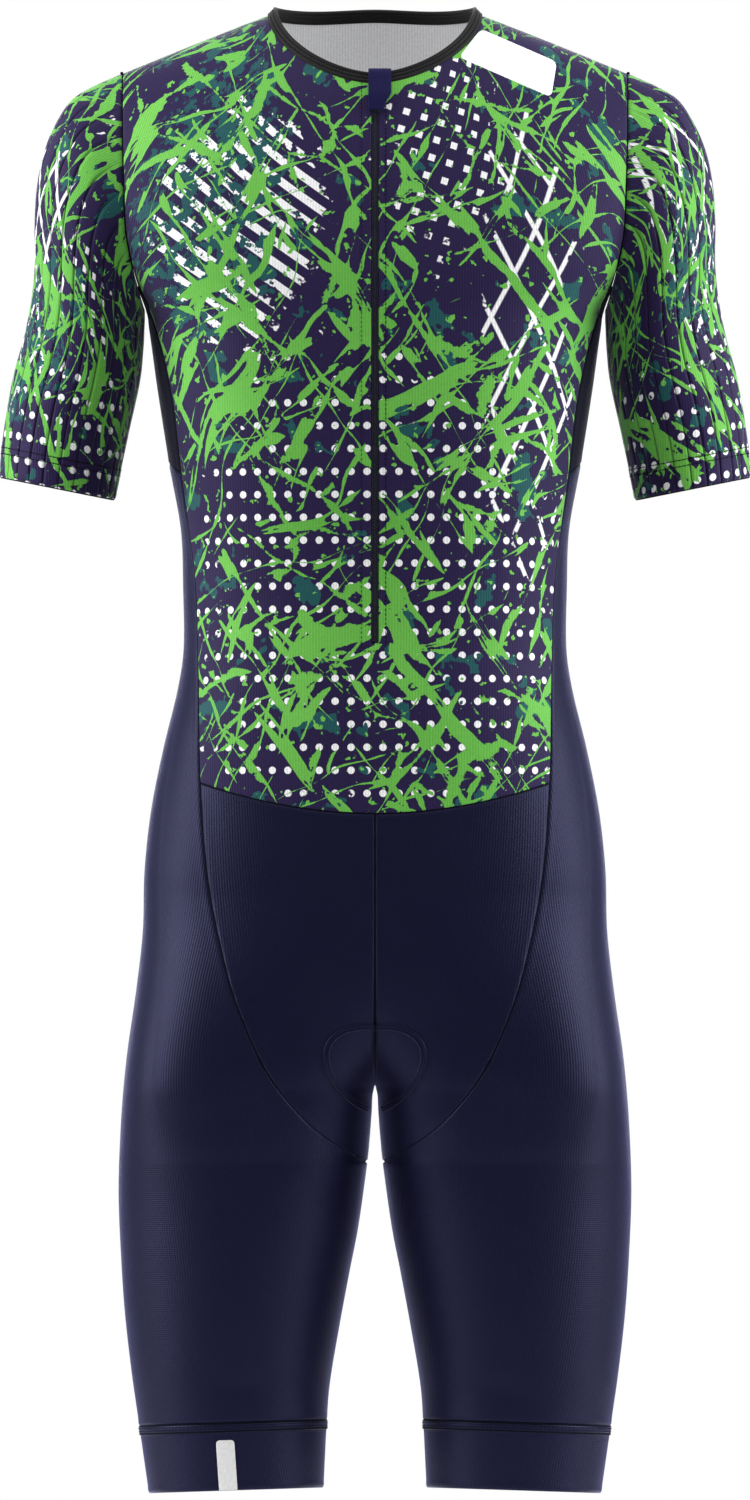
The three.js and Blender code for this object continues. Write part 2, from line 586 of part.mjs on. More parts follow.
// The ribbed outer face has two columns for each column of the plain inner face
function ribbedSleeve() {
  const columns = ribs.count * 2;
  const rows = sleeveRows(columns);
  const positions = [];
  rows.forEach((row, i) => row.slice(0, columns).forEach(({ place, out }, j) => {
    const raised = j % 2 ? ribs.height * sleeveSections[i].rib : 0;
    positions.push(...place.clone().addScaledVector(out, raised).toArray());
  }));
  const innerStart = rows.length * columns;
  rows.forEach((row) => row.slice(0, columns).filter((_, j) => j % 2 === 0).forEach(({ place, out }) => {
    positions.push(...place.clone().addScaledVector(out, -clothThickness).toArray());
  }));
  const outer = (i, j) => i * columns + (j % columns);
  const inner = (i, j) => innerStart + i * ribs.count + (j % ribs.count);
  const triangles = [];
  const lastRow = rows.length - 1;
  for (let i = 0; i < lastRow; i += 1) {
    for (let j = 0; j < columns; j += 1) {
      triangles.push([outer(i, j), outer(i, j + 1), outer(i + 1, j)]);
      triangles.push([outer(i, j + 1), outer(i + 1, j + 1), outer(i + 1, j)]);
    }
    for (let j = 0; j < ribs.count; j += 1) {
      triangles.push([inner(i, j), inner(i + 1, j), inner(i, j + 1)]);
      triangles.push([inner(i, j + 1), inner(i + 1, j), inner(i + 1, j + 1)]);
    }
  }
  for (let j = 0; j < ribs.count; j += 1) {
    for (const [i, flip] of [[0, false], [lastRow, true]]) {
      const [a, b, c] = [outer(i, 2 * j), outer(i, 2 * j + 1), outer(i, 2 * j + 2)];
      const [d, e] = [inner(i, j), inner(i, j + 1)];
      const rim = [[a, d, b], [b, d, e], [b, e, c]];
      triangles.push(...(flip ? rim.map(([p, q, r]) => [p, r, q]) : rim));
    }
  }
  return geometryOf(positions, triangles);
}
addPair('sleeve', ribbedSleeve(), printCloth);

// Grip tape inside the sleeve hem, showing just below it
const grip = { height: 12, proud: 0.8, thickness: 0.8, columns: 24 };
function gripRows() {
  const [above, hem] = sleeveRows(grip.columns).slice(-2);
  const inside = clothThickness + seamGap;
  return [-grip.height, grip.proud].map((drop) => hem.map((vertex, j) => {
    const down = vertex.place.clone().sub(above[j].place).normalize();
    const place = vertex.place.clone().addScaledVector(down, drop).addScaledVector(vertex.out, -inside);
    return { place, out: vertex.out };
  }));
}
addPair('grip', clothWall(gripRows(), { thickness: grip.thickness, inset: 0 }), bindingCloth);

// Neck binding: a ridged strip that stands on the neckline from one side of the zip to the other
const binding = { frontHeight: 8.6, sideHeight: 6.6, lean: 0.42, edge: 0.3, inner: -1.4, flat: 0.55, ridge: 1 };
const bindingProfile = [ // share of the height, outward offset
  { up: 0, out: 0.3 },
  { up: 0.2, out: binding.ridge },
  { up: 0.34, out: binding.flat },
  { up: 0.5, out: binding.ridge },
  { up: 0.66, out: binding.flat },
  { up: 0.84, out: binding.ridge },
  { up: 1, out: 0.4 },
  { up: 1, out: binding.inner },
  { up: 0, out: binding.inner },
];
function neckPath() {
  const front = frontNeckX.slice(1).map((x) => shoulderSkin(x, liftAt(x, frontNeckHeight(x))));
  const back = backNeckX.slice(0, -1).reverse().map((x) => shoulderSkin(x, backNeckLift(x)));
  const left = [...front, ...back];
  const right = left.slice(0, -1).reverse().map(({ x, y, z }) => point(-x, y, z));
  return [...left, ...right];
}
function neckBinding() {
  const path = neckPath();
  const lastStation = path.length - 1;
  const corners = bindingProfile.length;
  const positions = [];
  path.forEach((base, i) => {
    const along = path[Math.min(i + 1, lastStation)].clone().sub(path[Math.max(i - 1, 0)]).normalize();
    if (i === 0 || i === lastStation) along.set(1, 0, 0);
    const inwards = point(-base.x, -base.y, 0).normalize();
    const up = inwards.multiplyScalar(binding.lean).add(point(0, 0, 1));
    up.addScaledVector(along, -up.dot(along)).normalize();
    const out = along.clone().cross(up).normalize();
    const sideways = Math.abs(base.x) / neck.halfWidth;
    const height = lerp(binding.frontHeight, binding.sideHeight, sideways ** 2);
    const zipSide = i === 0 ? seamGap / 2 : i === lastStation ? -seamGap / 2 : 0;
    for (const { up: share, out: offset } of bindingProfile) {
      const rise = binding.edge + share * (height - binding.edge);
      const corner = base.clone().addScaledVector(up, rise).addScaledVector(out, offset);
      corner.x += zipSide;
      positions.push(...corner.toArray());
    }
  });
  const at = (i, k) => i * corners + (k % corners);
  const triangles = [];
  for (let i = 0; i < lastStation; i += 1) {
    for (let k = 0; k < corners; k += 1) {
      triangles.push([at(i, k), at(i + 1, k), at(i, k + 1)]);
      triangles.push([at(i, k + 1), at(i + 1, k), at(i + 1, k + 1)]);
    }
  }
  const outline = bindingProfile.map(({ up, out }) => new THREE.Vector2(up * binding.frontHeight, out));
  for (const [a, b, c] of THREE.ShapeUtils.triangulateShape(outline, [])) {
    triangles.push([at(0, a), at(0, c), at(0, b)]);
    triangles.push([at(lastStation, a), at(lastStation, b), at(lastStation, c)]);
  }
  return geometryOf(positions, triangles);
}
addPiece('neck_binding', neckBinding(), bindingCloth);

// Zip: strips on the front's rows, set in or out from the skin
const frontVertexAt = (x, z) => {
  const vertex = shoulderVertex(Math.abs(x), liftAt(Math.abs(x), z));
  return x < 0 ? mirroredVertex(vertex) : vertex;
};
const trunkVertexAt = (x, z) => {
  if (z > chestLevel) return frontVertexAt(x, z);
  const vertex = skinVertex(z, angleAt(z, Math.max(Math.abs(x), seamGap / 2)));
  vertex.place.x = Math.abs(x);
  return x < 0 ? mirroredVertex(vertex) : vertex;
};
const moved = (vertex, offset) => ({ ...vertex, place: vertex.place.clone().addScaledVector(vertex.out, offset) });
const centreLevels = frontRows.slice(0, slitRows + 1).map((row) => row[frontCells].place.z);
function zipStrip(levels, halfWidth, offset) {
  const stations = [-halfWidth, -zip.slotHalf, zip.slotHalf, halfWidth];
  const columns = halfWidth > zip.slotHalf ? stations : [-halfWidth, halfWidth];
  return levels.map((z) => columns.map((x) => moved(trunkVertexAt(x, z), offset)));
}
const tapeTop = 1.5; // below the edge of the neckline
const tapeLevels = [centreLevels[0] - tapeTop, ...centreLevels.slice(1), zip.bottom - 9];
const tapeOffset = -clothThickness - 2.4 * seamGap; // the neckline's facets bow in a little
addPiece('zip_tape', clothWall(zipStrip(tapeLevels, zip.tapeHalf, tapeOffset), { inset: 0 }), zipNylon);
const chainProud = 0.3;
const chainLevels = [zip.top, ...centreLevels.slice(0, -1), zip.bottom + 0.6];
const chainRows = zipStrip(chainLevels, zip.chainHalf, chainProud);
const chainThickness = clothThickness + chainProud;
addPiece('zip_chain', clothWall(chainRows, { thickness: chainThickness, inset: 0 }), zipNylon);

// Slider, parked under the garage: a waisted body on the chain with a bridge for the pull
const slider = { top: -35.5, bottom: -46.5, offset: 2.4, thickness: 1.6 };
const sliderWidths = [ // half width down the body
  { z: slider.top, half: 3.4 },
  { z: slider.top - 4, half: 3.6 },
  { z: slider.bottom + 3, half: 2.7 },
  { z: slider.bottom, half: 2.4 },
];
const sliderRows = sliderWidths.map(({ z, half }) =>
  [-half, 0, half].map((x) => moved(trunkVertexAt(x, z), slider.offset)));
addPiece('zip_slider', clothWall(sliderRows, { thickness: slider.thickness, inset: 0 }), zipNylon);

// Garage: a tab folded over the top of the binding, its front corner cut off
const garage = { left: -4.8, right: 11.7, cut: 5.4, cutLevel: -36.7 };
const garageProfile = [
  { z: -48.8, out: 4.2, right: garage.cut },
  { z: -42, out: 4.4, right: lerp(garage.cut, garage.right, 0.56) },
  { z: garage.cutLevel, out: 4.4, right: garage.right },
  { z: -28, out: 3.4, right: garage.right },
  { z: -21, out: 2.7, right: garage.right },
  { z: -17.8, out: 0.8, right: garage.right },
  { z: -18, out: -1.6, right: garage.right },
  { z: -20.5, out: -3.2, right: garage.right },
  { z: -27, out: -3.3, right: garage.right },
];
const garageRows = withDirections(garageProfile.map(({ z, out, right }) =>
  span(right, garage.left, 4).map((x) => moved(trunkVertexAt(x, z), out))));
addPiece('zip_garage', clothWall(garageRows, { inset: 0 }), garageCloth);

// Stitched outline of the seat pad: a raised strip on each yoke
function padSeamRows() {
  const stations = padOutline.map(({ x, z }) => point(x, 0, z));
  const last = stations.length - 1;
  return stations.map((station, i) => {
    const along = stations[Math.min(i + 1, last)].clone().sub(stations[Math.max(i - 1, 0)]).normalize();
    const across = point(along.z, 0, -along.x);
    return [-1, 1].map((side) => {
      const at = station.clone().addScaledVector(across, side * padSeam.halfWidth);
      const vertex = skinVertex(at.z, angleAt(at.z, Math.max(at.x, padOutline[0].x)));
      return moved(vertex, padSeam.gap + padSeam.height);
    });
  });
}
addPair('pad_seam', clothWall(padSeamRows(), { thickness: padSeam.height, inset: 0 }), darkCloth);

// Small tab on the wearer's right leg band, folded under the hem's edge
const tab = { top: -1005, bottom: -1041, inner: 101.4, outer: 114.5, slant: 2.4, lift: 0.9, thickness: 0.6 };
const tabRows = span(tab.top, tab.bottom, 3).map((z, i) => {
  const shift = (tab.slant * i) / 3;
  return span(tab.inner - shift, tab.outer - shift, 2).map((x) =>
    mirroredVertex(moved(skinVertex(z, angleAt(z, x)), tab.lift)));
});
addPiece('hem_tab', clothWall(tabRows, { thickness: tab.thickness, inset: 0 }), whiteCloth);

export default suit;
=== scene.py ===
import math
from functools import partial

import bpy
import numpy as np
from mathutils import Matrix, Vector


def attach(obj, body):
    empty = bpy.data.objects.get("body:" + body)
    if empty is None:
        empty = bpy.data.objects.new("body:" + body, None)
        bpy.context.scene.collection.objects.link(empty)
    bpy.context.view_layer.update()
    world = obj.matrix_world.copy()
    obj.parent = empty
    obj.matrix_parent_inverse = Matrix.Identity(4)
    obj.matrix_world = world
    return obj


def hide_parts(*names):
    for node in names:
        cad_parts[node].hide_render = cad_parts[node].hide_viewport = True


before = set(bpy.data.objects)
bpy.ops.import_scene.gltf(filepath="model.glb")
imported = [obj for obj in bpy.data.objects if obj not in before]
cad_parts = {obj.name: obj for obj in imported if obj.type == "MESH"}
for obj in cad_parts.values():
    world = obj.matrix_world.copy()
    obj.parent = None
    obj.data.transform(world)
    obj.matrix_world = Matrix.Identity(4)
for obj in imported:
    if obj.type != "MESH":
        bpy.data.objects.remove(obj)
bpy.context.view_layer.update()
print("frame loaded")

# Sizes of the suit's skin, in millimetres; a mesh is brought to metres when it is made
suit = {
    "thickness": 1.2,
    "chestLevel": -190.0,
    "crotchLevel": -751.7,
    "seamTipLevel": -804.0,
    "waistSeamLevel": -532.0,
    "waistSeamDip": 22.0,
    "sideSeamLevel": -309.3,
    "sideSeamRise": 6.9,
    "legBandTop": -993.0,
    "legHem": -1041.5,
    "hemTilt": 0.033,
    "centreRise": 140.0,
    "halfGap": 0.04,
    "seamDepth": 0.85,
    "seamWidth": 1.7,
}
ridge = {"peak": 39.9, "slope": 0.4205, "rounding": 40.0, "tip": 182.0}
neck = {"halfWidth": 77.4, "frontDrop": 48.5, "frontPower": 1.7, "backReach": 43.5, "backPower": 2.2}
zipper = {"slotHalf": 2.6, "bottom": -431.3, "top": -20.5}
# The armhole runs from the shoulder, at 0 degrees, over the front's corner to the armpit, at 180
armhole = {"top": -21.6, "bottom": -190.0, "corner": 135.0, "underTurn": 90.0}


# A short table with named columns; the first column is what it is read by
def table(names, *rows):
    return dict(zip(names.split(), np.array(rows, float).T))


bodySections = table(
    "z halfWidth front back power",
    (45, 213, 104, 98, 2.4), (-22, 212, 107, 102, 2.4), (-64, 210, 110, 106, 2.4),
    (-102, 207, 112, 108, 2.4), (-135, 200, 113, 109, 2.4), (-159, 189, 114, 109, 2.4),
    (-177, 176, 114, 108, 2.4), (-190, 165.6, 114, 107, 2.4), (-206, 162.6, 114, 106, 2.4),
    (-249, 156.6, 113, 101, 2.4), (-307, 147.4, 108, 94, 2.4), (-350, 139.8, 103, 89, 2.4),
    (-393, 138.2, 99, 86, 2.4), (-436, 137.9, 98, 88, 2.4), (-465, 142.2, 99, 93, 2.4),
    (-508, 152.6, 101, 103, 2.4), (-552, 161.3, 102, 112, 2.4), (-595, 166, 101, 119, 2.5),
    (-638, 167.2, 99, 123, 2.6), (-681, 172, 97, 121, 2.75), (-724, 178.2, 94, 112, 2.9),
    (-752, 181.2, 92, 104, 2.9), (-782, 183.3, 90, 97, 2.6), (-825, 184.7, 87, 91, 2.25),
    (-868, 183.2, 84, 86, 2.15), (-912, 180.2, 80, 81, 2.1), (-955, 175.2, 75, 75, 2.1),
    (-984, 171, 71, 71, 2.1), (-1012, 167, 67.5, 67.5, 2.1), (-1044, 162.4, 64, 64, 2.1),
)
inseam = table(
    "z x",
    (-751.7, 0.15), (-754, 1.7), (-768, 2.5), (-796, 4.7), (-825, 8.3), (-854, 12.6),
    (-883, 18.3), (-926, 26.1), (-969, 33), (-998, 34.9), (-1044, 37.2),
)
frontSeam = table(
    "z x",
    (-165.3, 173.2), (-207, 157.3), (-255, 146.2), (-309.3, 139.7), (-384, 130), (-454, 127.6),
    (-532, 126.1), (-602, 120.6), (-663, 108.4), (-699, 97.3), (-741.6, 77.5), (-771.8, 53.5),
    (-788, 34.5), (-804, 5.7),
)
armholeSeam = table(
    "z x",
    (-21.6, 182), (-64, 182), (-102, 181), (-135, 179.4), (-159, 174.9), (-177, 169.8), (-190, 165.6),
)
sleeveSections = table(
    "station topX topZ underX underZ depth keep rib",
    (0, 182, -21.6, 165.6, -190, 56, 1, 0), (1, 200.5, -30, 166, -194, 57.5, 0.9, 0.5),
    (2, 217.5, -41, 166.4, -199, 59, 0.72, 1), (3, 229.5, -59, 166.8, -206, 60, 0.5, 1),
    (4, 238, -80, 167.2, -215, 60.5, 0.28, 1), (5, 242.6, -104, 168, -225, 60.5, 0.12, 1),
    (6, 244.2, -130, 169, -236, 59.5, 0.03, 1), (7, 244, -157, 171, -248, 58, 0, 1),
    (8, 246.5, -184, 173.6, -260, 56, 0, 1), (9, 251.8, -211, 176.6, -273, 53.5, 0, 1),
    (10, 259, -237, 179.6, -287, 51.5, 0, 1), (11, 264, -263, 182.6, -301, 49.5, 0, 1),
    (12, 267.6, -288, 185.4, -315, 48, 0, 1), (13, 269.2, -312, 188.2, -328, 46.5, 0, 1),
)


# Reads every column between two rows along a cubic whose end slopes come from the rows around them
def readTable(rows, at):
    key = next(iter(rows))
    sign = 1 if rows[key][1] > rows[key][0] else -1
    levels = rows[key] * sign
    last = len(levels) - 1
    at = np.asarray(at, float) * sign
    k = np.clip(np.searchsorted(levels, at), 1, last)
    before, after = np.maximum(k - 2, 0), np.minimum(k + 1, last)
    length = levels[k] - levels[k - 1]
    t = np.clip((at - levels[k - 1]) / length, 0, 1)

    def column(values):
        upper, lower = values[k - 1], values[k]
        slopeUpper = (lower - values[before]) / (levels[k] - levels[before]) * length
        slopeLower = (values[after] - upper) / (levels[after] - levels[k - 1]) * length
        curve = slopeUpper * t * (1 - t) ** 2 - slopeLower * t**2 * (1 - t)
        return upper + (lower - upper) * t**2 * (3 - 2 * t) + curve

    return {name: column(values) for name, values in rows.items() if name != key}


# A power that keeps the value's sign
def signedPower(value, power):
    return np.sign(value) * np.abs(value) ** power


# Soft step from 0 to 1: three times the share's square less twice its cube
def smooth(value, low, high):
    t = np.clip((value - low) / (high - low), 0, 1)
    return t * t * (3 - 2 * t)


# The ring of the left half at a height. Above the crotch its middle moves in to the centre line: it is
# the half gap plus the width times p over 1 + p, where p fades from 1 at the crotch to 0.
def ringAt(z):
    body = readTable(bodySections, z)
    inner = readTable(inseam, z)["x"]
    parting = np.clip(1 - (z - suit["crotchLevel"]) / suit["centreRise"], 0, 1) ** 1.3
    width = body["halfWidth"] - suit["halfGap"]
    above = z >= suit["crotchLevel"]
    joined = suit["halfGap"] + width * parting / (1 + parting)
    middle = np.where(above, joined, (body["halfWidth"] + inner) / 2)
    reach = np.where(above, width / (1 + parting), (body["halfWidth"] - inner) / 2)
    return middle, reach, body, suit["hemTilt"] * smooth(-z, 860, 990)


# Height of the shoulder's ridge: its peak less the slope times a hyperbola of x
def ridgeAt(x):
    return ridge["peak"] - ridge["slope"] * (np.hypot(x, ridge["rounding"]) - ridge["rounding"])


# Skin of the left half: x is the middle plus the reach times a power of the angle's cosine, y the depth
# times the same power of its sine, shrunk towards the shoulders like a quarter ellipse. Angle 0 is the
# side, negative in front, positive behind.
def skin(z, angle):
    z, angle = np.broadcast_arrays(np.asarray(z, float), np.asarray(angle, float))
    middle, reach, body, tilt = ringAt(z)
    x = middle + reach * signedPower(np.cos(angle), 2 / body["power"])
    rise = np.clip((z - suit["chestLevel"]) / (ridgeAt(x) - suit["chestLevel"]), 0, 1)
    depth = np.where(angle < 0, body["front"], body["back"]) * np.sqrt(1 - rise**2)
    y = depth * signedPower(np.sin(angle), 2 / body["power"])
    return np.stack([x, y, z - tilt * (x - middle)], axis=-1)


# The angle in front (side -1) or behind (side 1) at which the ring has a given x
def angleAt(z, x, side=-1):
    middle, reach, body, _ = ringAt(np.asarray(z, float))
    return side * np.arccos(signedPower(np.clip((x - middle) / reach, -1, 1), body["power"] / 2))


# Skin over the shoulders: height is the sine and depth the cosine of the lift, which is 0 at the chest
# level in front, a quarter turn on the ridge and a half turn at the chest level behind
def shoulderSkin(x, lift):
    z = suit["chestLevel"] + (ridgeAt(x) - suit["chestLevel"]) * np.sin(lift)
    body = readTable(bodySections, z)
    depth = np.where(lift < math.pi / 2, body["front"], body["back"])
    across = (1 - np.clip(np.abs(x) / body["halfWidth"], 0, 1) ** body["power"]) ** (1 / body["power"])
    return np.stack([x + 0 * z, -depth * np.cos(lift) * across, z], axis=-1)


# The lift at a given x and height: the arc sine of the height's share, counted from behind on side 1
def liftAt(x, z, side=-1):
    lift = np.arcsin(np.clip((z - suit["chestLevel"]) / (ridgeAt(x) - suit["chestLevel"]), 0, 1))
    return lift if side < 0 else math.pi - lift


# The armhole seen from the front: its height is a cosine between its top and its bottom
def armholePoint(degrees):
    middle, half = (armhole["top"] + armhole["bottom"]) / 2, (armhole["top"] - armhole["bottom"]) / 2
    z = middle + half * np.cos(np.radians(degrees))
    return readTable(armholeSeam, z)["x"], z


cornerLevel = float(armholePoint(armhole["corner"])[1])


# Grids

edgeSteps = np.array([0.05, 0.5, 1.0, 1.7, 3.0])  # how far the first rows lie from an edge


# Shares from 0 to 1 along a length, evenly spaced but closer where an edge is rolled in
def stations(length, step, start=True, end=True):
    near = edgeSteps / length
    low = near if start else np.array([0.0])
    high = 1 - near[::-1] if end else np.array([1.0])
    cells = max(2, round((high[0] - low[-1]) * length / step))
    return np.concatenate([low, np.linspace(low[-1], high[0], cells + 1)[1:-1], high])


# Vectors brought to length 1: each over the root of the sum of its squares
def unit(vectors):
    return vectors / np.linalg.norm(vectors, axis=-1, keepdims=True)


# Vectors turned square to given directions: less their share along it, then brought to length 1
def squareTo(vectors, directions):
    return unit(vectors - directions * (vectors * directions).sum(1, keepdims=True))


# Running length along one axis of a grid: the sum of the steps so far
def along(points, axis):
    step = np.linalg.norm(np.diff(points, axis=axis), axis=-1)
    zero = np.zeros_like(np.take(step, [0], axis=axis))
    return np.concatenate([zero, np.cumsum(step, axis=axis)], axis=axis)


# Unit normals of a grid from the differences between neighbours, turned away from a middle point
def normalsOf(points, middle, closed=False):
    if closed:
        wrapped = np.concatenate([points[:, -2:-1], points, points[:, 1:2]], axis=1)
        across = wrapped[:, 2:] - wrapped[:, :-2]
    else:
        across = np.gradient(points, axis=1)
    normal = np.cross(across, np.gradient(points, axis=0))
    normal /= np.maximum(np.linalg.norm(normal, axis=-1, keepdims=True), 1e-9)
    outward = ((points - np.array(middle, float)) * normal).sum(-1).sum()
    return normal if outward > 0 else -normal


# How far an edge is rolled in: a parabola from the seam's depth at the edge to nothing, then a low swell
def rolled(distance, depth=None, width=None):
    depth, width = depth or suit["seamDepth"], width or suit["seamWidth"]
    swell = 0.22 * np.exp(-(((distance - 1.9 * width) / width) ** 2))
    return swell - depth * np.clip(1 - distance / width, 0, 1) ** 2


# Main creases of the body, x and z in millimetres, seen from the front or from behind. A trough is
# soft: its section is a bell and it fades towards its ends. A negative depth is a ridge.
creases = table(
    "back x1 z1 x2 z2 width depth",
    (0, 158, -196, 112, -232, 8, 1.5), (0, 154, -214, 126, -262, 7, 0.9),
    (0, -157, -198, -104, -222, 8, 1.4), (0, -153, -220, -118, -268, 8, 1.0),
    (0, 118, -398, 62, -414, 9, 0.8), (0, -120, -410, -74, -402, 8, 0.9),
    (0, -124, -446, -66, -462, 10, 0.8), (0, 126, -448, 84, -456, 8, 0.7),
    (0, 30, -778, 92, -752, 10, 1.2), (0, -28, -776, -84, -746, 10, 1.1),
    (0, 26, -800, 78, -812, 11, 1.2), (0, -26, -806, -92, -804, 11, 1.1),
    (0, 60, -968, 118, -978, 10, 0.9), (0, -68, -974, -124, -966, 10, 0.9),
    (1, 150, -204, 92, -240, 10, 1.8), (1, -152, -200, -96, -246, 10, 1.7),
    (1, 128, -392, 40, -412, 11, 1.6), (1, -126, -404, -52, -418, 10, 1.4),
    (1, 104, -436, 22, -446, 12, 1.5), (1, -120, -442, -18, -438, 12, 1.3),
    (1, 22, -742, 128, -774, 13, 2.2), (1, -20, -746, -118, -782, 13, 2.0),
    (1, 34, -792, 120, -808, 12, 1.3), (1, -30, -798, -96, -806, 12, 1.2),
    (1, 66, -962, 132, -950, 11, 1.4), (1, -60, -956, -128, -964, 11, 1.5),
    (1, 72, -982, 118, -976, 8, 0.9), (1, -78, -978, -126, -984, 8, 0.9),
)


# How deep a trough lies at each point: the sum of a row of bells along its path, which is as deep as
# given in the middle
def trough(points, path, weight, width, depth):
    spacing = np.linalg.norm(path[-1] - path[0]) / (len(path) - 1)
    bells = np.exp(-((points[..., None, :] - path) ** 2).sum(-1) / width**2) * weight
    return depth * bells.sum(-1) * spacing / (width * math.sqrt(math.pi))


# Lift of the body's creases at each point: less the troughs of them all
def creaseLift(points):
    lift = np.zeros(points.shape[:-1])
    t = np.linspace(0, 1, 15)
    for back, x1, z1, x2, z2, width, depth in zip(*creases.values()):
        x, z = x1 + (x2 - x1) * t, z1 + (z2 - z1) * t
        z = z + 0.06 * abs(x2 - x1) * np.sin(math.pi * t)
        path = skin(z, angleAt(z, np.abs(x), 1 if back else -1))
        path[:, 0] = x
        weight = np.sin(math.pi * np.clip(t, 0.04, 0.96)) ** 0.8
        lift -= trough(points, path, weight, width, depth)
    return lift


# Meshes

# Faces of four corners between the rows and columns of a grid
def gridQuads(rows, columns):
    ids = np.arange(rows * columns).reshape(rows, columns)
    return np.stack([ids[:-1, :-1], ids[1:, :-1], ids[1:, 1:], ids[:-1, 1:]], axis=-1).reshape(-1, 4)


# Points that fall on each other are made one: gives the first of each, and which one each point became
def weld(points):
    _, first, welded = np.unique(np.round(points, 3), axis=0, return_index=True, return_inverse=True)
    return first, welded.reshape(-1)


# Whether all the corners of each face are different points
def isWhole(corners):
    return (np.diff(np.sort(corners, axis=1), axis=1) > 0).all(axis=1)


# A closed wall from two grids of points, outer and inner, with a rim round every edge of the kept cells.
# The wall's inner faces take the second material. The groove's depth is kept at each point, for painted
# shade.
def clothWall(name, outer, inner, uv, materials, keep=None, groove=None):
    rows, columns = outer.shape[:2]
    quads = gridQuads(rows, columns)
    if keep is not None:
        quads = quads[keep.reshape(-1)]
    count = rows * columns
    points = np.concatenate([outer.reshape(-1, 3), inner.reshape(-1, 3)])
    # turn the faces so that they look away from the inner wall
    a, b, d = points[quads[:, 0]], points[quads[:, 1]], points[quads[:, 3]]
    away = a - points[quads[:, 0] + count]
    if (np.cross(b - a, d - a) * away).sum() < 0:
        quads = quads[:, ::-1]
    first, welded = weld(points)
    # an edge is on the rim where no other face runs along it the other way
    edges = np.stack([quads, np.roll(quads, -1, axis=1)], axis=-1).reshape(-1, 2)
    joined = welded[edges]
    codes = joined[:, 0] * len(first) + joined[:, 1]
    rim = edges[~np.isin(codes, joined[:, 1] * len(first) + joined[:, 0])]
    faces = np.concatenate([
        quads,
        quads[:, ::-1] + count,
        np.stack([rim[:, 1], rim[:, 0], rim[:, 0] + count, rim[:, 1] + count], axis=-1),
    ])
    isInner = np.concatenate([np.zeros(len(quads)), np.ones(len(quads)), np.zeros(len(rim))])
    corners = welded[faces]
    whole = isWhole(corners)
    faces, corners, isInner = faces[whole], corners[whole], isInner[whole]
    uvs = np.concatenate([uv.reshape(-1, 2)] * 2)[faces.reshape(-1)]
    piece = makeMesh(name, points[first], corners, uvs, materials, isInner.astype(np.int32))
    if groove is not None:
        depth = np.concatenate([groove.reshape(-1), np.zeros(count)])[first]
        layer = piece.data.attributes.new("groove", "FLOAT", "POINT")
        layer.data.foreach_set("value", depth.astype(np.float32))
    return piece


# Puts points in millimetres and faces of one number of corners into a mesh object
def makeMesh(name, points, faces, uvs, materials, slots=None, sharp=50):
    mesh = bpy.data.meshes.new(name)
    perFace = faces.shape[1]
    mesh.vertices.add(len(points))
    mesh.vertices.foreach_set("co", (points * 0.001).astype(np.float32).ravel())
    mesh.loops.add(faces.size)
    mesh.loops.foreach_set("vertex_index", faces.astype(np.int32).ravel())
    mesh.polygons.add(len(faces))
    mesh.polygons.foreach_set("loop_start", np.arange(0, faces.size, perFace, dtype=np.int32))
    mesh.polygons.foreach_set("use_smooth", np.ones(len(faces), bool))
    for material in materials:
        mesh.materials.append(material)
    if slots is not None and len(materials) > 1:
        mesh.polygons.foreach_set("material_index", slots)
    mesh.update(calc_edges=True)
    layer = mesh.uv_layers.new(name="cloth")
    layer.data.foreach_set("uv", (uvs * 0.001).astype(np.float32).ravel())
    mesh.validate()
    mesh.set_sharp_from_angle(angle=math.radians(sharp))
    piece = bpy.data.objects.new(name, mesh)
    bpy.context.scene.collection.objects.link(piece)
    return piece


# A piece of the suit rides on its body, and may stand for a node, whose own part is hidden; its slot is not
# used
def dress(piece, slot, *nodes):
    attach(piece, "root")
    if nodes:
        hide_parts(*nodes)
    return piece


sides = {"left": 1, "right": -1}  # of the wearer, whose left is at positive x
mirror = np.array([-1.0, 1.0, 1.0])
ease = {"girth": 0.9, "length": 0.96}  # the cut's share of the worn size: the cloth is stretched


# Works out a cloth piece's flat size and area, which are not kept. Its cut is a little smaller than the worn
# grid, because the knit is stretched.
# Its area is the sum of half the cross products of the cells' diagonals, times both shares.
def declareCloth(points):
    width = along(points, 1)[:, -1].max() * ease["girth"] * 0.001
    length = along(points, 0)[-1].max() * ease["length"] * 0.001
    diagonal = np.cross(points[1:, 1:] - points[:-1, :-1], points[1:, :-1] - points[:-1, 1:])
    area = np.linalg.norm(diagonal, axis=-1).sum() / 2 * 1e-6 * ease["girth"] * ease["length"]
    flat = (round(float(width), 3), round(float(length), 3))
    area = min(float(area), flat[0] * flat[1])


print("helpers ready")

# Shader helpers: each one works in the node tree that the sockets handed to it belong to


# Adds a node with its settings. An input is linked where its value is a socket, and set where it isn't.
def place(tree, kind, settings=None, inputs=None):
    new = tree.nodes.new(kind)
    for name, value in (settings or {}).items():
        setattr(new, name, value)
    for name, value in (inputs or {}).items():
        if isinstance(value, bpy.types.NodeSocket):
            tree.links.new(value, new.inputs[name])
        else:
            new.inputs[name].default_value = value
    return new


# The node tree of the first socket among some values
def treeOf(values):
    return next(value.id_data for value in values if isinstance(value, bpy.types.NodeSocket))


# One step of arithmetic, on numbers or on vectors
def calc(operation, *values, kind="ShaderNodeMath"):
    return place(treeOf(values), kind, {"operation": operation}, dict(enumerate(values))).outputs[0]


plus, minus, times, larger = (partial(calc, word) for word in ("ADD", "SUBTRACT", "MULTIPLY", "MAXIMUM"))
vectorCalc = partial(calc, kind="ShaderNodeVectorMath")


# The root of the sum of squares
def distanceOf(values):
    return calc("SQRT", plus(*(times(value, value) for value in values)))


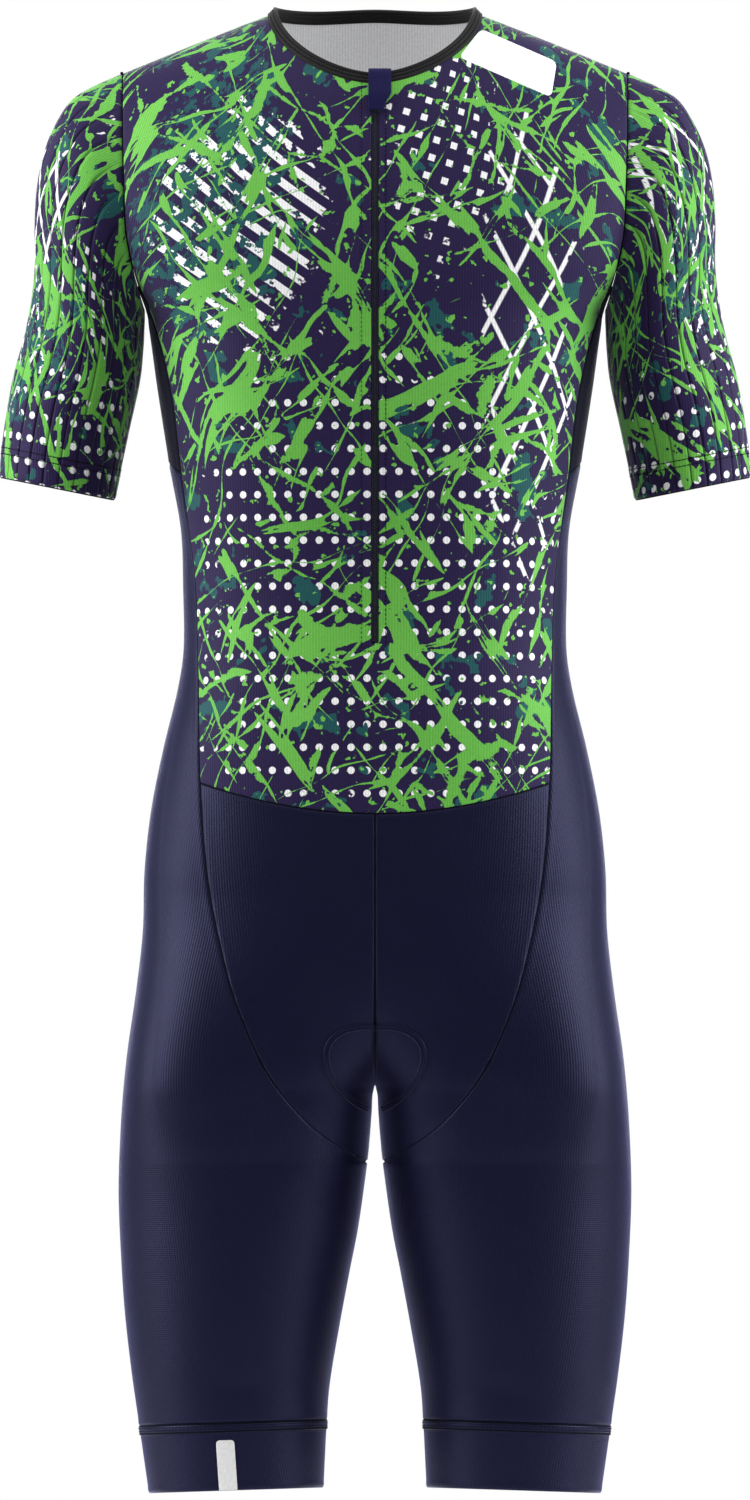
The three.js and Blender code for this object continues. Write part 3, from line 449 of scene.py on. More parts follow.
# A colour times a number
def scaled(color, factor):
    inputs = {0: color, "Scale": factor}
    return place(factor.id_data, "ShaderNodeVectorMath", {"operation": "SCALE"}, inputs).outputs[0]


# The x, y and z of a vector
def partsOf(vector):
    return place(vector.id_data, "ShaderNodeSeparateXYZ", None, {0: vector}).outputs


# A vector turned by an angle about an axis
def turnedBy(vector, angle, axis="Z_AXIS"):
    inputs = {"Vector": vector, "Angle": angle}
    return place(vector.id_data, "ShaderNodeVectorRotate", {"rotation_type": axis}, inputs).outputs[0]


# Soft step from 0 at the low value to 1 at the high one
def stepUp(value, low, high):
    inputs = {"Value": value, "From Min": low, "From Max": high}
    settings = {"interpolation_type": "SMOOTHSTEP"}
    return place(value.id_data, "ShaderNodeMapRange", settings, inputs).outputs["Result"]


# The first colour where the factor is 0, the second where it is 1
def blendColor(factor, first, second):
    inputs = {0: factor, 6: first, 7: second}
    return place(factor.id_data, "ShaderNodeMix", {"data_type": "RGBA"}, inputs).outputs[2]


# Noise over the cloth
def noise(vector, scale, detail=2.0, rough=0.5, output="Fac"):
    inputs = {"Vector": vector, "Scale": scale, "Detail": detail, "Roughness": rough}
    return place(vector.id_data, "ShaderNodeTexNoise", {"noise_dimensions": "2D"}, inputs).outputs[output]


# Noise about 0, times a strength, which makes an edge ragged
def raggedBy(vector, strength, *pattern):
    return times(minus(noise(vector, *pattern), 0.5), strength)


# How far each point is moved by a coloured noise about 0, times a strength on each axis
def warpedBy(vector, strength, scale):
    warp = noise(vector, scale, output="Color")
    return vectorCalc("MULTIPLY", vectorCalc("SUBTRACT", warp, (0.5, 0.5, 0.5)), strength)


# A width that swells and shrinks: the width times the least share plus the growth where a noise is high
def swollen(width, vector, scale, low, high, least, growth):
    return times(width, plus(least, times(stepUp(noise(vector, scale), low, high), growth)))


# A node group with the place on the cloth and some numbers going in, and numbers coming out
def newGroup(name, vectors, numbers, outputs=("Mask",)):
    tree = bpy.data.node_groups.new(name, "ShaderNodeTree")
    sockets = [(label, "INPUT", "NodeSocketVector") for label in vectors]
    sockets += [(label, "INPUT", "NodeSocketFloat") for label in numbers]
    sockets += [(label, "OUTPUT", "NodeSocketFloat") for label in outputs]
    for label, way, kind in sockets:
        tree.interface.new_socket(label, in_out=way, socket_type=kind)
    return tree, tree.nodes.new("NodeGroupInput").outputs, tree.nodes.new("NodeGroupOutput").inputs


# Puts a node group in with its inputs, and gives its outputs
def useGroup(group, **inputs):
    return place(treeOf(inputs.values()), "ShaderNodeGroup", {"node_tree": group}, inputs).outputs


# Fine vertical knit lines crossed by smaller loops, with a little cloudiness
def makeKnitGroup():
    tree, given, out = newGroup("fineKnit", ["Cloth"], ["Pitch"], ["Height", "Shade"])
    parts = partsOf(given["Cloth"])
    turn = calc("DIVIDE", 2 * math.pi, given["Pitch"])
    wales = calc("SINE", times(parts["X"], turn))
    loops = calc("SINE", plus(times(parts["Y"], times(turn, 1.4)), times(wales, 0.7)))
    cloud = noise(given["Cloth"], 420.0, 3.0)
    height = plus(plus(times(wales, 0.5), times(loops, 0.3)), times(cloud, 0.7))
    shade = plus(plus(times(wales, 0.09), times(cloud, 0.24)), 0.88)
    tree.links.new(height, out["Height"])
    tree.links.new(shade, out["Shade"])
    return tree


# Strands: the net of lines between warped cells, wide and narrow by turns, ragged at their edges
def makeStrandGroup():
    tree, given, out = newGroup("strandNet", ["Cloth"], ["Turn", "Cells", "Stretch", "Width"])
    where = given["Cloth"]
    stretch = place(tree, "ShaderNodeCombineXYZ", None, {"X": 1.0, "Y": given["Stretch"], "Z": 0.0})
    base = vectorCalc("MULTIPLY", turnedBy(where, given["Turn"]), stretch.outputs[0])
    warped = vectorCalc("ADD", base, warpedBy(where, (0.03, 0.03, 0.0), 17.0))
    settings = {"voronoi_dimensions": "2D", "feature": "DISTANCE_TO_EDGE"}
    inputs = {"Vector": warped, "Scale": given["Cells"], "Randomness": 1.0}
    cells = place(tree, "ShaderNodeTexVoronoi", settings, inputs).outputs["Distance"]
    width = swollen(given["Width"], where, 26.0, 0.36, 0.74, 0.12, 1.7)
    edge = minus(width, plus(cells, raggedBy(where, 0.13, 190.0, 3.0, 0.6)))
    tree.links.new(stepUp(edge, 0.0, 0.012), out["Mask"])
    return tree


# Blades: thin contour lines of a noise that is stretched along one turned direction. Their width
# swells and shrinks, and each blade is broken where a second stretched noise is low.
def makeBladeGroup():
    tree, given, out = newGroup("longBlades", ["Cloth"], ["Turn", "Density", "Width", "Cover"])
    where = given["Cloth"]
    turned = vectorCalc("ADD", turnedBy(where, given["Turn"]), warpedBy(where, (0.05, 0.0, 0.0), 7.0))
    long = vectorCalc("MULTIPLY", turned, (1.0, 0.11, 1.0))
    distance = calc("ABSOLUTE", minus(noise(long, given["Density"], 1.5, 0.4), 0.5))
    distance = plus(distance, raggedBy(where, 0.03, 260.0))
    width = swollen(given["Width"], where, 34.0, 0.3, 0.75, 0.1, 1.5)
    line = stepUp(minus(width, distance), 0.0, 0.004)
    other = vectorCalc("ADD", vectorCalc("MULTIPLY", long, (0.6, 1.0, 1.0)), (4.1, 2.3, 0.0))
    kept = stepUp(minus(noise(other, 60.0, 1.0), given["Cover"]), 0.0, 0.0004)
    tree.links.new(times(line, kept), out["Mask"])
    return tree


# Round dots in straight rows: where the distance to the middle of a cell is less than the radius
def makeDotGroup():
    tree, given, out = newGroup("dotRows", ["Cloth"], ["Across", "Down", "Radius"])
    parts = partsOf(given["Cloth"])
    fromMiddle = [
        times(minus(calc("FRACT", calc("DIVIDE", parts[axis], given[pitch])), 0.5), given[pitch])
        for axis, pitch in (("X", "Across"), ("Y", "Down"))
    ]
    inside = minus(given["Radius"], distanceOf(fromMiddle))
    tree.links.new(stepUp(inside, -0.0002, 0.0002), out["Mask"])
    return tree


# Bars, or the lines of a diamond lattice where both sets are used: the distance to the nearest of
# evenly spaced lines in a turned direction
def makeBarGroup():
    tree, given, out = newGroup("turnedBars", ["Cloth"], ["Turn", "Pitch", "Share"])
    x = partsOf(turnedBy(given["Cloth"], given["Turn"]))["X"]
    distance = calc("ABSOLUTE", minus(calc("FRACT", calc("DIVIDE", x, given["Pitch"])), 0.5))
    tree.links.new(stepUp(minus(times(given["Share"], 0.5), distance), 0.0, 0.04), out["Mask"])
    return tree


# The bare patch: a box with round corners, its lower side wider than its upper one, on the x-z plane
def makePatchGroup():
    numbers = ["Turn", "Half", "High", "Taper", "Corner"]
    tree, given, out = newGroup("roundedPatch", ["Place", "Middle"], numbers)
    offset = vectorCalc("SUBTRACT", given["Place"], given["Middle"])
    parts = partsOf(turnedBy(offset, given["Turn"], "Y_AXIS"))
    half = minus(given["Half"], times(parts["Z"], given["Taper"]))
    beyond = [
        larger(minus(calc("ABSOLUTE", parts[axis]), minus(reach, given["Corner"])), 0.0)
        for axis, reach in (("X", half), ("Z", given["High"]))
    ]
    inside = minus(given["Corner"], distanceOf(beyond))
    tree.links.new(stepUp(inside, -0.0001, 0.0001), out["Mask"])
    return tree


# A soft oval area of the cloth with a broken edge, in which a motif shows
def makeAreaGroup():
    tree, given, out = newGroup("brokenArea", ["Cloth", "Middle", "Reach"], [])
    offset = vectorCalc("SUBTRACT", given["Cloth"], given["Middle"])
    offset = vectorCalc("DIVIDE", offset, given["Reach"])
    distance = place(tree, "ShaderNodeVectorMath", {"operation": "LENGTH"}, {0: offset}).outputs["Value"]
    distance = plus(distance, raggedBy(given["Cloth"], 1.9, 30.0, 4.0, 0.65))
    tree.links.new(stepUp(distance, 1.03, 0.97), out["Mask"])
    return tree


fineKnit, strandNet, longBlades = makeKnitGroup(), makeStrandGroup(), makeBladeGroup()
dotRows, turnedBars, brokenArea = makeDotGroup(), makeBarGroup(), makeAreaGroup()
roundedPatch = makePatchGroup()

# Colours are linear
cloth = {
    "ground": (0.009, 0.0055, 0.033, 1),
    "groundLight": (0.017, 0.0085, 0.05, 1),
    "green": (0.145, 0.44, 0.07, 1),
    "greenDeep": (0.085, 0.33, 0.04, 1),
    "teal": (0.0085, 0.068, 0.07, 1),
    "white": (0.74, 0.74, 0.75, 1),
    "navy": (0.0026, 0.0025, 0.0125, 1),
    "navyDeep": (0.0016, 0.0014, 0.0105, 1),
    "underarm": (0.0025, 0.0025, 0.005, 1),
    "inside": (0.74, 0.74, 0.75, 1),
    "binding": (0.007, 0.007, 0.0073, 1),
    "garage": (0.003, 0.002, 0.032, 1),
    "blackThread": (0.002, 0.002, 0.003, 1),
    "tab": (0.58, 0.58, 0.58, 1),
    "rubber": (0.006, 0.006, 0.006, 1),
    "coil": (0.005, 0.005, 0.006, 1),
}
# Where the motifs lie on each printed piece, in metres of cloth from its own middle: the middle and the
# reach of each. Each set of blades has its turn, how dense it is, how wide and how much is left out.
printPlaces = {
    "printFront": {
        "dots": ((0.005, -0.4), (0.135, 0.16)), "lattice": ((0.115, -0.2), (0.034, 0.16)),
        "bars": ((-0.105, -0.12), (0.06, 0.08)), "squares": ((0.05, -0.06), (0.04, 0.08)),
        "teal": ((-0.13, -0.09), (0.055, 0.11)), "shift": (0.0, 0.0),
        "blades": ((0.55, 64.0, 0.043, 0.5), (-0.62, 58.0, 0.043, 0.51), (1.15, 62.0, 0.04, 0.54)),
        "patch": {"Middle": (0.09865, 0.0, -0.0124), "Turn": -0.41, "Half": 0.033, "High": 0.0125,
                  "Taper": 0.26, "Corner": 0.004},
    },
    "printBack": {
        "dots": ((-0.01, -0.38), (0.13, 0.16)), "lattice": ((-0.115, -0.2), (0.034, 0.16)),
        "bars": ((0.1, -0.12), (0.06, 0.08)), "squares": ((-0.04, -0.06), (0.045, 0.06)),
        "teal": ((0.13, -0.3), (0.05, 0.12)), "shift": (3.1, 1.7),
        "blades": ((0.5, 64.0, 0.043, 0.5), (-0.7, 58.0, 0.043, 0.51), (1.2, 62.0, 0.04, 0.54)),
    },
    "printSleeveLeft": {
        "dots": ((0.085, 0.03), (0.085, 0.045)), "lattice": ((0.055, 0.2), (0.05, 0.08)),
        "bars": ((-0.1, 0.12), (0.04, 0.07)), "squares": ((0.03, 0.12), (0.03, 0.035)),
        "teal": ((0.06, 0.16), (0.04, 0.05)), "shift": (7.3, 4.9), "sewn": (0.0175, 0.022),
        "blades": ((0.35, 62.0, 0.045, 0.51), (-0.45, 56.0, 0.045, 0.52), (1.0, 60.0, 0.04, 0.55)),
    },
    "printSleeveRight": {
        "dots": ((0.08, 0.035), (0.085, 0.05)), "lattice": ((0.02, 0.17), (0.06, 0.09)),
        "bars": ((-0.12, 0.11), (0.04, 0.06)), "squares": ((0.1, 0.14), (0.03, 0.04)),
        "teal": ((0.03, 0.1), (0.04, 0.05)), "shift": (9.7, 2.4), "sewn": (0.0175, 0.022),
        "blades": ((0.3, 62.0, 0.045, 0.51), (-0.5, 56.0, 0.045, 0.52), (1.1, 60.0, 0.04, 0.55)),
    },
}


# A new material without nodes
def newMaterial(name):
    material = bpy.data.materials.new(name)
    material.use_nodes = True
    material.node_tree.nodes.clear()
    return material, material.node_tree


# The cloth's shader: sheen and gloss are constants here, its colour and knit come in through sockets
def finishCloth(tree, color, height, roughness=0.6, sheen=0.25, spread=0.45, tint=(0.6, 0.6, 1, 1), bump=0.25,
                specular=0.1, glow=0.0):
    inputs = {"Height": height, "Strength": bump, "Distance": 0.0004}
    normal = place(tree, "ShaderNodeBump", None, inputs).outputs[0]
    shader = place(tree, "ShaderNodeBsdfPrincipled", None, {
        "Base Color": color, "Roughness": roughness, "Normal": normal, "Sheen Weight": sheen,
        "Sheen Roughness": spread, "Sheen Tint": tint, "Specular IOR Level": specular,
        "Specular Tint": tint, "Emission Color": color, "Emission Strength": glow,
    })
    place(tree, "ShaderNodeOutputMaterial", None, {"Surface": shader.outputs[0]})


# The place on the cloth, in metres across and along it
def clothCoordinates(tree):
    return place(tree, "ShaderNodeUVMap", {"uv_map": "cloth"}).outputs[0]


# Plain knit of one colour, or with a deeper second one in broad clouds
def plainKnit(name, color, deep=None, pitch=0.0021, **finish):
    material, tree = newMaterial(name)
    where = clothCoordinates(tree)
    knit = useGroup(fineKnit, Cloth=where, Pitch=pitch)
    base = blendColor(stepUp(noise(where, 9.0), 0.3, 0.75), color, deep or color)
    finishCloth(tree, scaled(base, knit["Shade"]), knit["Height"], **finish)
    return material


# The printed cloth: a dark ground under white motifs, teal patches and green strands
def printedKnit(name, at):
    material, tree = newMaterial(name)
    where = clothCoordinates(tree)
    moved = vectorCalc("ADD", where, (*at["shift"], 0.0))

    def area(key):
        middle, reach = at[key]
        return useGroup(brokenArea, Cloth=where, Middle=(*middle, 0.0), Reach=(*reach, 1.0))["Mask"]

    def motif(group, **values):
        return useGroup(group, Cloth=moved, **values)["Mask"]

    lattice = [motif(turnedBars, Turn=turn, Pitch=0.03, Share=0.15) for turn in (0.48, -0.48)]
    squares = [motif(turnedBars, Turn=turn, Pitch=0.014, Share=0.4) for turn in (0.3, 0.3 + math.pi / 2)]
    motifs = {
        "dots": motif(dotRows, Across=0.0115, Down=0.0166, Radius=0.00265),
        "lattice": larger(*lattice),
        "bars": motif(turnedBars, Turn=-0.95, Pitch=0.0125, Share=0.5),
        "squares": times(*squares),
    }
    white = 0.0
    for key, mask in motifs.items():
        white = larger(white, times(mask, area(key)))
    ground = blendColor(noise(moved, 5.0), cloth["ground"], cloth["groundLight"])
    color = blendColor(white, ground, cloth["white"])
    blots = stepUp(noise(moved, 30.0, 3.0, 0.6), 0.63, 0.633)
    thick = times(stepUp(noise(moved, 95.0, 3.0, 0.65), 0.5, 0.52), area("teal"))
    color = blendColor(larger(blots, thick), color, cloth["teal"])
    splashes = motif(strandNet, Turn=0.55, Cells=15.0, Stretch=2.1, Width=0.055)
    green = times(splashes, stepUp(noise(moved, 9.0, 1.0), 0.53, 0.5304))
    for turn, density, width, cover in at["blades"]:
        green = larger(green, motif(longBlades, Turn=turn, Density=density, Width=width, Cover=cover))
    green = larger(green, stepUp(noise(moved, 120.0), 0.7, 0.712))
    greens = blendColor(noise(moved, 7.0, 1.0), cloth["greenDeep"], cloth["green"])
    color = blendColor(green, color, greens)
    if "patch" in at:
        onPiece = place(tree, "ShaderNodeTexCoord").outputs["Object"]
        patch = useGroup(roundedPatch, Place=onPiece, **at["patch"])["Mask"]
        color = blendColor(patch, color, cloth["white"])
    knit = useGroup(fineKnit, Cloth=where, Pitch=0.0021)
    shade = knit["Shade"]
    if "sewn" in at:
        # painted shade darkens the ribs' grooves, and the two lines of the hem are darker
        groove = place(tree, "ShaderNodeAttribute", {"attribute_name": "groove"}).outputs["Fac"]
        fromHem = partsOf(where)["Y"]
        for level in at["sewn"]:
            beside = calc("ABSOLUTE", minus(fromHem, level))
            groove = larger(groove, stepUp(beside, 0.0006, 0.0001))
        shade = times(shade, minus(1.0, times(groove, 0.75)))
    tint = (0.8, 0.75, 1, 1)
    finishCloth(tree, scaled(color, shade), knit["Height"], sheen=0.2, tint=tint, specular=0.12)
    return material


# Thread, rubber, coil and woven tape: a fine twist or grain over one colour
def fineGrain(name, color, grain, roughness, bump=0.3, specular=0.4, sheen=0.0):
    material, tree = newMaterial(name)
    inputs = {"Vector": place(tree, "ShaderNodeTexCoord").outputs["Object"], "Scale": grain, "Detail": 3.0}
    cloudy = place(tree, "ShaderNodeTexNoise", None, inputs).outputs["Fac"]
    shaded = scaled(color[:3], plus(times(cloudy, 0.7), 0.65))
    finishCloth(tree, shaded, cloudy, roughness=roughness, sheen=sheen, bump=bump, specular=specular)
    return material


prints = {name: printedKnit(name, at) for name, at in printPlaces.items()}
colorless = (1, 1, 1, 1)
# painted light: the inside glows a little, as light coming through the thin cloth would make it
insideKnit = plainKnit("insideKnit", cloth["inside"], sheen=0.1, tint=colorless, bump=0.12, glow=0.16)
navyKnit = plainKnit(
    "navyKnit", cloth["navy"], cloth["navyDeep"], roughness=0.46, sheen=0.4, spread=0.32,
    tint=(0.46, 0.47, 1, 1), specular=0.25,
)
underarmKnit = plainKnit("underarmKnit", cloth["underarm"], sheen=0.1)
bindingKnit = plainKnit("bindingKnit", cloth["binding"], pitch=0.0012, sheen=0.12, tint=colorless)
garageKnit = plainKnit("garageKnit", cloth["garage"], pitch=0.0012, sheen=0.2)
tabWeave = plainKnit("tabWeave", cloth["tab"], pitch=0.0009, roughness=0.7, sheen=0.1, tint=colorless)
gripRubber = fineGrain("gripRubber", cloth["rubber"], 900.0, 0.6)
tapeWeave = fineGrain("tapeWeave", cloth["coil"], 1600.0, 0.7)
coilNylon = fineGrain("coilNylon", cloth["coil"], 700.0, 0.32, 0.1, 0.5)
blackThread = fineGrain("blackThread", cloth["blackThread"], 2500.0, 0.7, specular=0.08)
print("materials ready")

# Printed front and back

printed = {"step": 3.1, "upperLength": 170.0, "halfWidth": 150.0, "slot": 2.6 / 126.1, "besideZip": 0.13}
printedColumns = {
    "front": {"share": [0, printed["slot"], printed["besideZip"], 0.27, 0.4, 0.52, 0.64, 0.76, 0.88, 1],
              "angle": [90, 86.8, 66, 46, 28, 12, 0], "power": neck["frontPower"], "side": -1},
    "back": {"share": [0, 0.14, 0.28, 0.41, 0.53, 0.65, 0.77, 0.89, 1],
             "angle": [90, 75.5, 58.4, 39.7, 20.3, 0], "power": neck["backPower"], "side": 1},
}
waistDips = table("z dip", (-431.3, 0), (-460, 2), (-486, 7), (-510, 14), (-532, 22))


# Height of the neckline in front: the ridge's height at its end less the drop times a rounded share
def frontNeckHeight(x):
    share = np.clip(1 - (x / neck["halfWidth"]) ** neck["frontPower"], 0, 1)
    return ridgeAt(neck["halfWidth"]) - neck["frontDrop"] * share ** (1 / neck["frontPower"])


# The back neckline is drawn in plan, so its lift is found by a few rounds
def backNeckLift(x):
    share = np.clip(1 - (x / neck["halfWidth"]) ** neck["backPower"], 0, 1)
    reach = neck["backReach"] * share ** (1 / neck["backPower"])
    lift = np.full(np.shape(x), math.radians(115.0))
    for _ in range(14):
        depth = shoulderSkin(x, lift)[..., 1] / -np.cos(lift)
        lift = np.arccos(-np.clip(reach / depth, 1e-6, 1))
    return lift


# x across a row: the columns by the zip keep their own place, the others are shares of the width
def rowX(share, width, front):
    if not front:
        return share * width
    slot, beside = printed["slot"], printed["besideZip"]
    t = np.clip((share - slot) / (beside - slot), 0, 1)
    near = zipper["slotHalf"] + (beside * width - zipper["slotHalf"]) * t
    inSlot = share / slot * zipper["slotHalf"]
    return np.where(share <= slot, inSlot, np.where(share < beside, near, share * width))


# Left half of a printed panel. Above the armhole's corner it is drawn between its four edges: each
# point is the sum of the two straight blends between opposite edges, less the blend of the corners.
# Below the corner its rows are rings at a height.
def printedHalf(columns):
    side, front = columns["side"], columns["side"] < 0
    slot = printed["slot"]
    share = stations(printed["halfWidth"], printed["step"], start=False)
    if front:
        beside = slot + edgeSteps[1:] / printed["halfWidth"]
        share = np.concatenate([[0, slot / 2, slot], beside, share[share > beside[-1] + 0.01]])
    index = np.interp(share, columns["share"], np.arange(len(columns["share"])))
    atNeck = len(columns["angle"]) - 1
    angle = np.radians(np.interp(index, np.arange(atNeck + 1), columns["angle"]))
    topX = neck["halfWidth"] * np.cos(angle) ** (2 / columns["power"])
    outer = np.interp(index, atNeck + np.arange(4), [neck["halfWidth"], 112, 147, ridge["tip"]])
    topX = np.where(index < atNeck, topX, outer)
    neckX = np.minimum(topX, neck["halfWidth"])
    neckLift = liftAt(topX, frontNeckHeight(neckX)) if front else backNeckLift(neckX)
    topLift = np.where(index < atNeck, neckLift, math.pi / 2)
    seamX = float(readTable(frontSeam, cornerLevel)["x"])
    lowX = rowX(share, seamX, front)
    lowLift = liftAt(lowX, cornerLevel, side)
    up = 1 - stations(printed["upperLength"], printed["step"], end=False)[:, None]
    armX, armZ = armholePoint(armhole["corner"] * (1 - up))
    armLift = liftAt(armX, armZ, side)
    centreLift = lowLift[0] + (topLift[0] - lowLift[0]) * up
    across = lowX / lowX[-1]

    def blend(low, top, centre, arm):
        inner, outer = (1 - up) * low[0] + up * top[0], (1 - up) * low[-1] + up * top[-1]
        corners = (1 - across) * inner + across * outer
        return (1 - up) * low + up * top + (1 - across) * centre + across * arm - corners

    x = blend(lowX, topX, 0 * up, armX)
    if front:
        t = np.clip((share - slot) / (printed["besideZip"] - slot), 0, 1)
        atSlot = x[:, np.searchsorted(share, slot - 1e-9)][:, None]
        moved = x + (zipper["slotHalf"] - atSlot) * (1 - t)
        x = np.where(share <= slot, share / slot * zipper["slotHalf"], moved)
    above = shoulderSkin(x, blend(lowLift, topLift, centreLift, armLift))
    toZip = np.linspace(cornerLevel, zipper["bottom"], 76)[1:]
    belowZip = zipper["bottom"] - suit["waistSeamLevel"]
    toWaist = zipper["bottom"] - stations(belowZip, printed["step"], start=False)[1:] * belowZip
    level = np.concatenate([toZip, toWaist])[:, None]
    dip = readTable(waistDips, level)["dip"] * (level < zipper["bottom"])
    z = level - dip * (1 - share**2)
    below = skin(z, angleAt(z, rowX(share, readTable(frontSeam, z)["x"], front), side))
    return np.concatenate([above, below]), len(up) + len(toZip) - 1


# Both halves side by side, with the cloth's own coordinates: across from the centre, down along the rows
def printedPanel(name, columns, material):
    half, slitRow = printedHalf(columns)
    points = np.concatenate([half[:, :0:-1] * mirror, half], axis=1)
    centre = half.shape[1] - 1
    normal = normalsOf(points, (0, 0, -250))
    u = along(points, 1)
    u = u - u[:, centre : centre + 1]
    down = along(points, 0)
    v = down[-1] - down + points[-1, :, 2]
    # the neckline stays flat, because its edge lies in the binding
    fromTop = np.where(np.abs(points[0, :, 0]) > neck["halfWidth"], down, 99.0)
    distance = np.minimum(np.minimum(fromTop, down[-1] - down), u[:, -1:] - np.abs(u))
    height = rolled(distance)
    if columns["side"] < 0:
        beside = np.abs(points[..., 0]) - zipper["slotHalf"]
        beside = np.where(np.arange(len(points))[:, None] <= slitRow, beside, 99.0)
        height = np.minimum(height, rolled(np.maximum(beside, 0), 0.7, 1.4))
    bumps = creaseLift(points)
    points = points + normal * (height + bumps)[..., None]
    keep = np.ones((len(points) - 1, points.shape[1] - 1), bool)
    if columns["side"] < 0:
        keep[:slitRow, centre - 2 : centre + 2] = False
    uv = np.stack([u, v], axis=-1)
    piece = clothWall(name, points, points - normal * suit["thickness"], uv, [material, insideKnit], keep)
    return piece, points, normal


panels = {}
for word, columns in printedColumns.items():
    panel, points, normal = printedPanel(f"{word}Panel", columns, prints[f"print{word.title()}"])
    dress(panel, "print", f"{word}_print")
    declareCloth(points)
    panels[word] = points, normal
print("printed panels ready")

# Underarm panels, legs, bands, yokes and seat panels

lower = {"step": 3.4, "underarmWidth": 170.0, "underarmLength": 140.0, "legWidth": 330.0, "yokeWidth": 130.0}
band = {
    "step": 1.6, "seam": 5.5, "lift": 0.7, "groove": 2.75, "grooveDepth": 0.45, "stitches": (1.6, 3.9),
    "lowerSeam": 5.9,
}


# The side seam rises in the middle like a parabola
def sideSeamHeight(share):
    return suit["sideSeamLevel"] + suit["sideSeamRise"] * (1 - (2 * share - 1) ** 2)


# Turns a grid on the skin into a wall: its edges are rolled in and the creases pressed into it
def skinWall(name, points, side, materials, edges="tblr", extra=0, closed=False):
    points = points * (mirror if side < 0 else 1)
    middle = (points[..., 0].mean() * 0.6, 0, points[..., 2].mean())
    normal = normalsOf(points, middle, closed)
    down, across = along(points, 0), along(points, 1)
    distances = {"t": down, "b": down[-1] - down, "l": across, "r": across[:, -1:] - across}
    nearest = np.minimum.reduce([distances[edge] for edge in edges])
    lifted = points + normal * (rolled(nearest) + creaseLift(points) + extra)[..., None]
    uv = np.stack([across - across[:, -1:] / 2, down[-1] - down + points[-1, :, 2]], axis=-1)
    return clothWall(name, lifted, lifted - normal * suit["thickness"], uv, materials), lifted, normal


# Underarm: its rows run from the lower part of the armhole to the side seam
def underarmGrid():
    share = stations(lower["underarmWidth"], lower["step"])[None, :]
    down = stations(lower["underarmLength"], lower["step"])[:, None]
    level = cornerLevel + (suit["sideSeamLevel"] - cornerLevel) * down
    degrees = armhole["corner"] + armhole["underTurn"] * share
    topX, topZ = armholePoint(degrees)
    side = np.where(degrees <= 180, -1, 1)
    z = level + (topZ - cornerLevel) * (1 - down) + (sideSeamHeight(share) - suit["sideSeamLevel"]) * down
    edge = angleAt(level, readTable(frontSeam, level)["x"])
    topEdge = float(angleAt(cornerLevel, readTable(frontSeam, cornerLevel)["x"]))
    bow = (angleAt(topZ, topX) * -side - topEdge * (1 - 2 * share)) * (1 - down)
    return skin(z, edge * (1 - 2 * share) + bow)


# Side and leg: a strip round the side down to the seam's tip, a tube below it, closed along the inseam
def legGrid():
    length = suit["sideSeamLevel"] - suit["legBandTop"]
    level = suit["sideSeamLevel"] - stations(length, lower["step"]) * length
    level = level[:, None]
    share = stations(lower["legWidth"], lower["step"])[None, :]
    share = np.concatenate([[[0.0]], share[:, 1:-1], [[1.0]]], axis=1)
    rise = (sideSeamHeight(share) - suit["sideSeamLevel"]) * np.exp((level - suit["sideSeamLevel"]) / 12)
    edge = -angleAt(level, readTable(frontSeam, level)["x"])
    edge = np.where(level > suit["seamTipLevel"], edge, math.pi)
    return skin(level + rise, edge * (2 * share - 1))


# Leg band: rings from its top to the hem
def bandGrid():
    length = suit["legBandTop"] - suit["legHem"]
    level = suit["legBandTop"] - stations(length, band["step"])[:, None] * length
    angle = np.linspace(-math.pi, math.pi, 121)[None, :]
    return skin(level, angle)


lowerDips = table("z dip", (-532, 22), (-566, 12), (-600, 4), (-633, 0), (-660, 0))


# Yoke and seat panel: each column keeps its share of the angle between the centre and the seam
def lowerGrid(side):
    tip = suit["seamTipLevel"] + 0.25
    length = suit["waistSeamLevel"] - tip
    level = suit["waistSeamLevel"] - stations(length, lower["step"])[:, None] * length
    share = stations(lower["yokeWidth"], lower["step"])[None, :]

    def centreAngle(z):
        inner = angleAt(np.maximum(z, suit["crotchLevel"]), 0.05, side)
        return np.where(z >= suit["crotchLevel"], inner, side * math.pi)

    def seamAngle(z):
        return angleAt(z, readTable(frontSeam, z)["x"], side)

    top = suit["waistSeamLevel"] - suit["waistSeamDip"] * (1 - share**2)
    wanted = angleAt(top, np.maximum(share * readTable(frontSeam, top)["x"], 0.05), side)
    part = (wanted - centreAngle(top)) / (seamAngle(top) - centreAngle(top))
    z = level - readTable(lowerDips, level)["dip"] * (1 - share**2)
    return skin(z, centreAngle(z) + (seamAngle(z) - centreAngle(z)) * part)


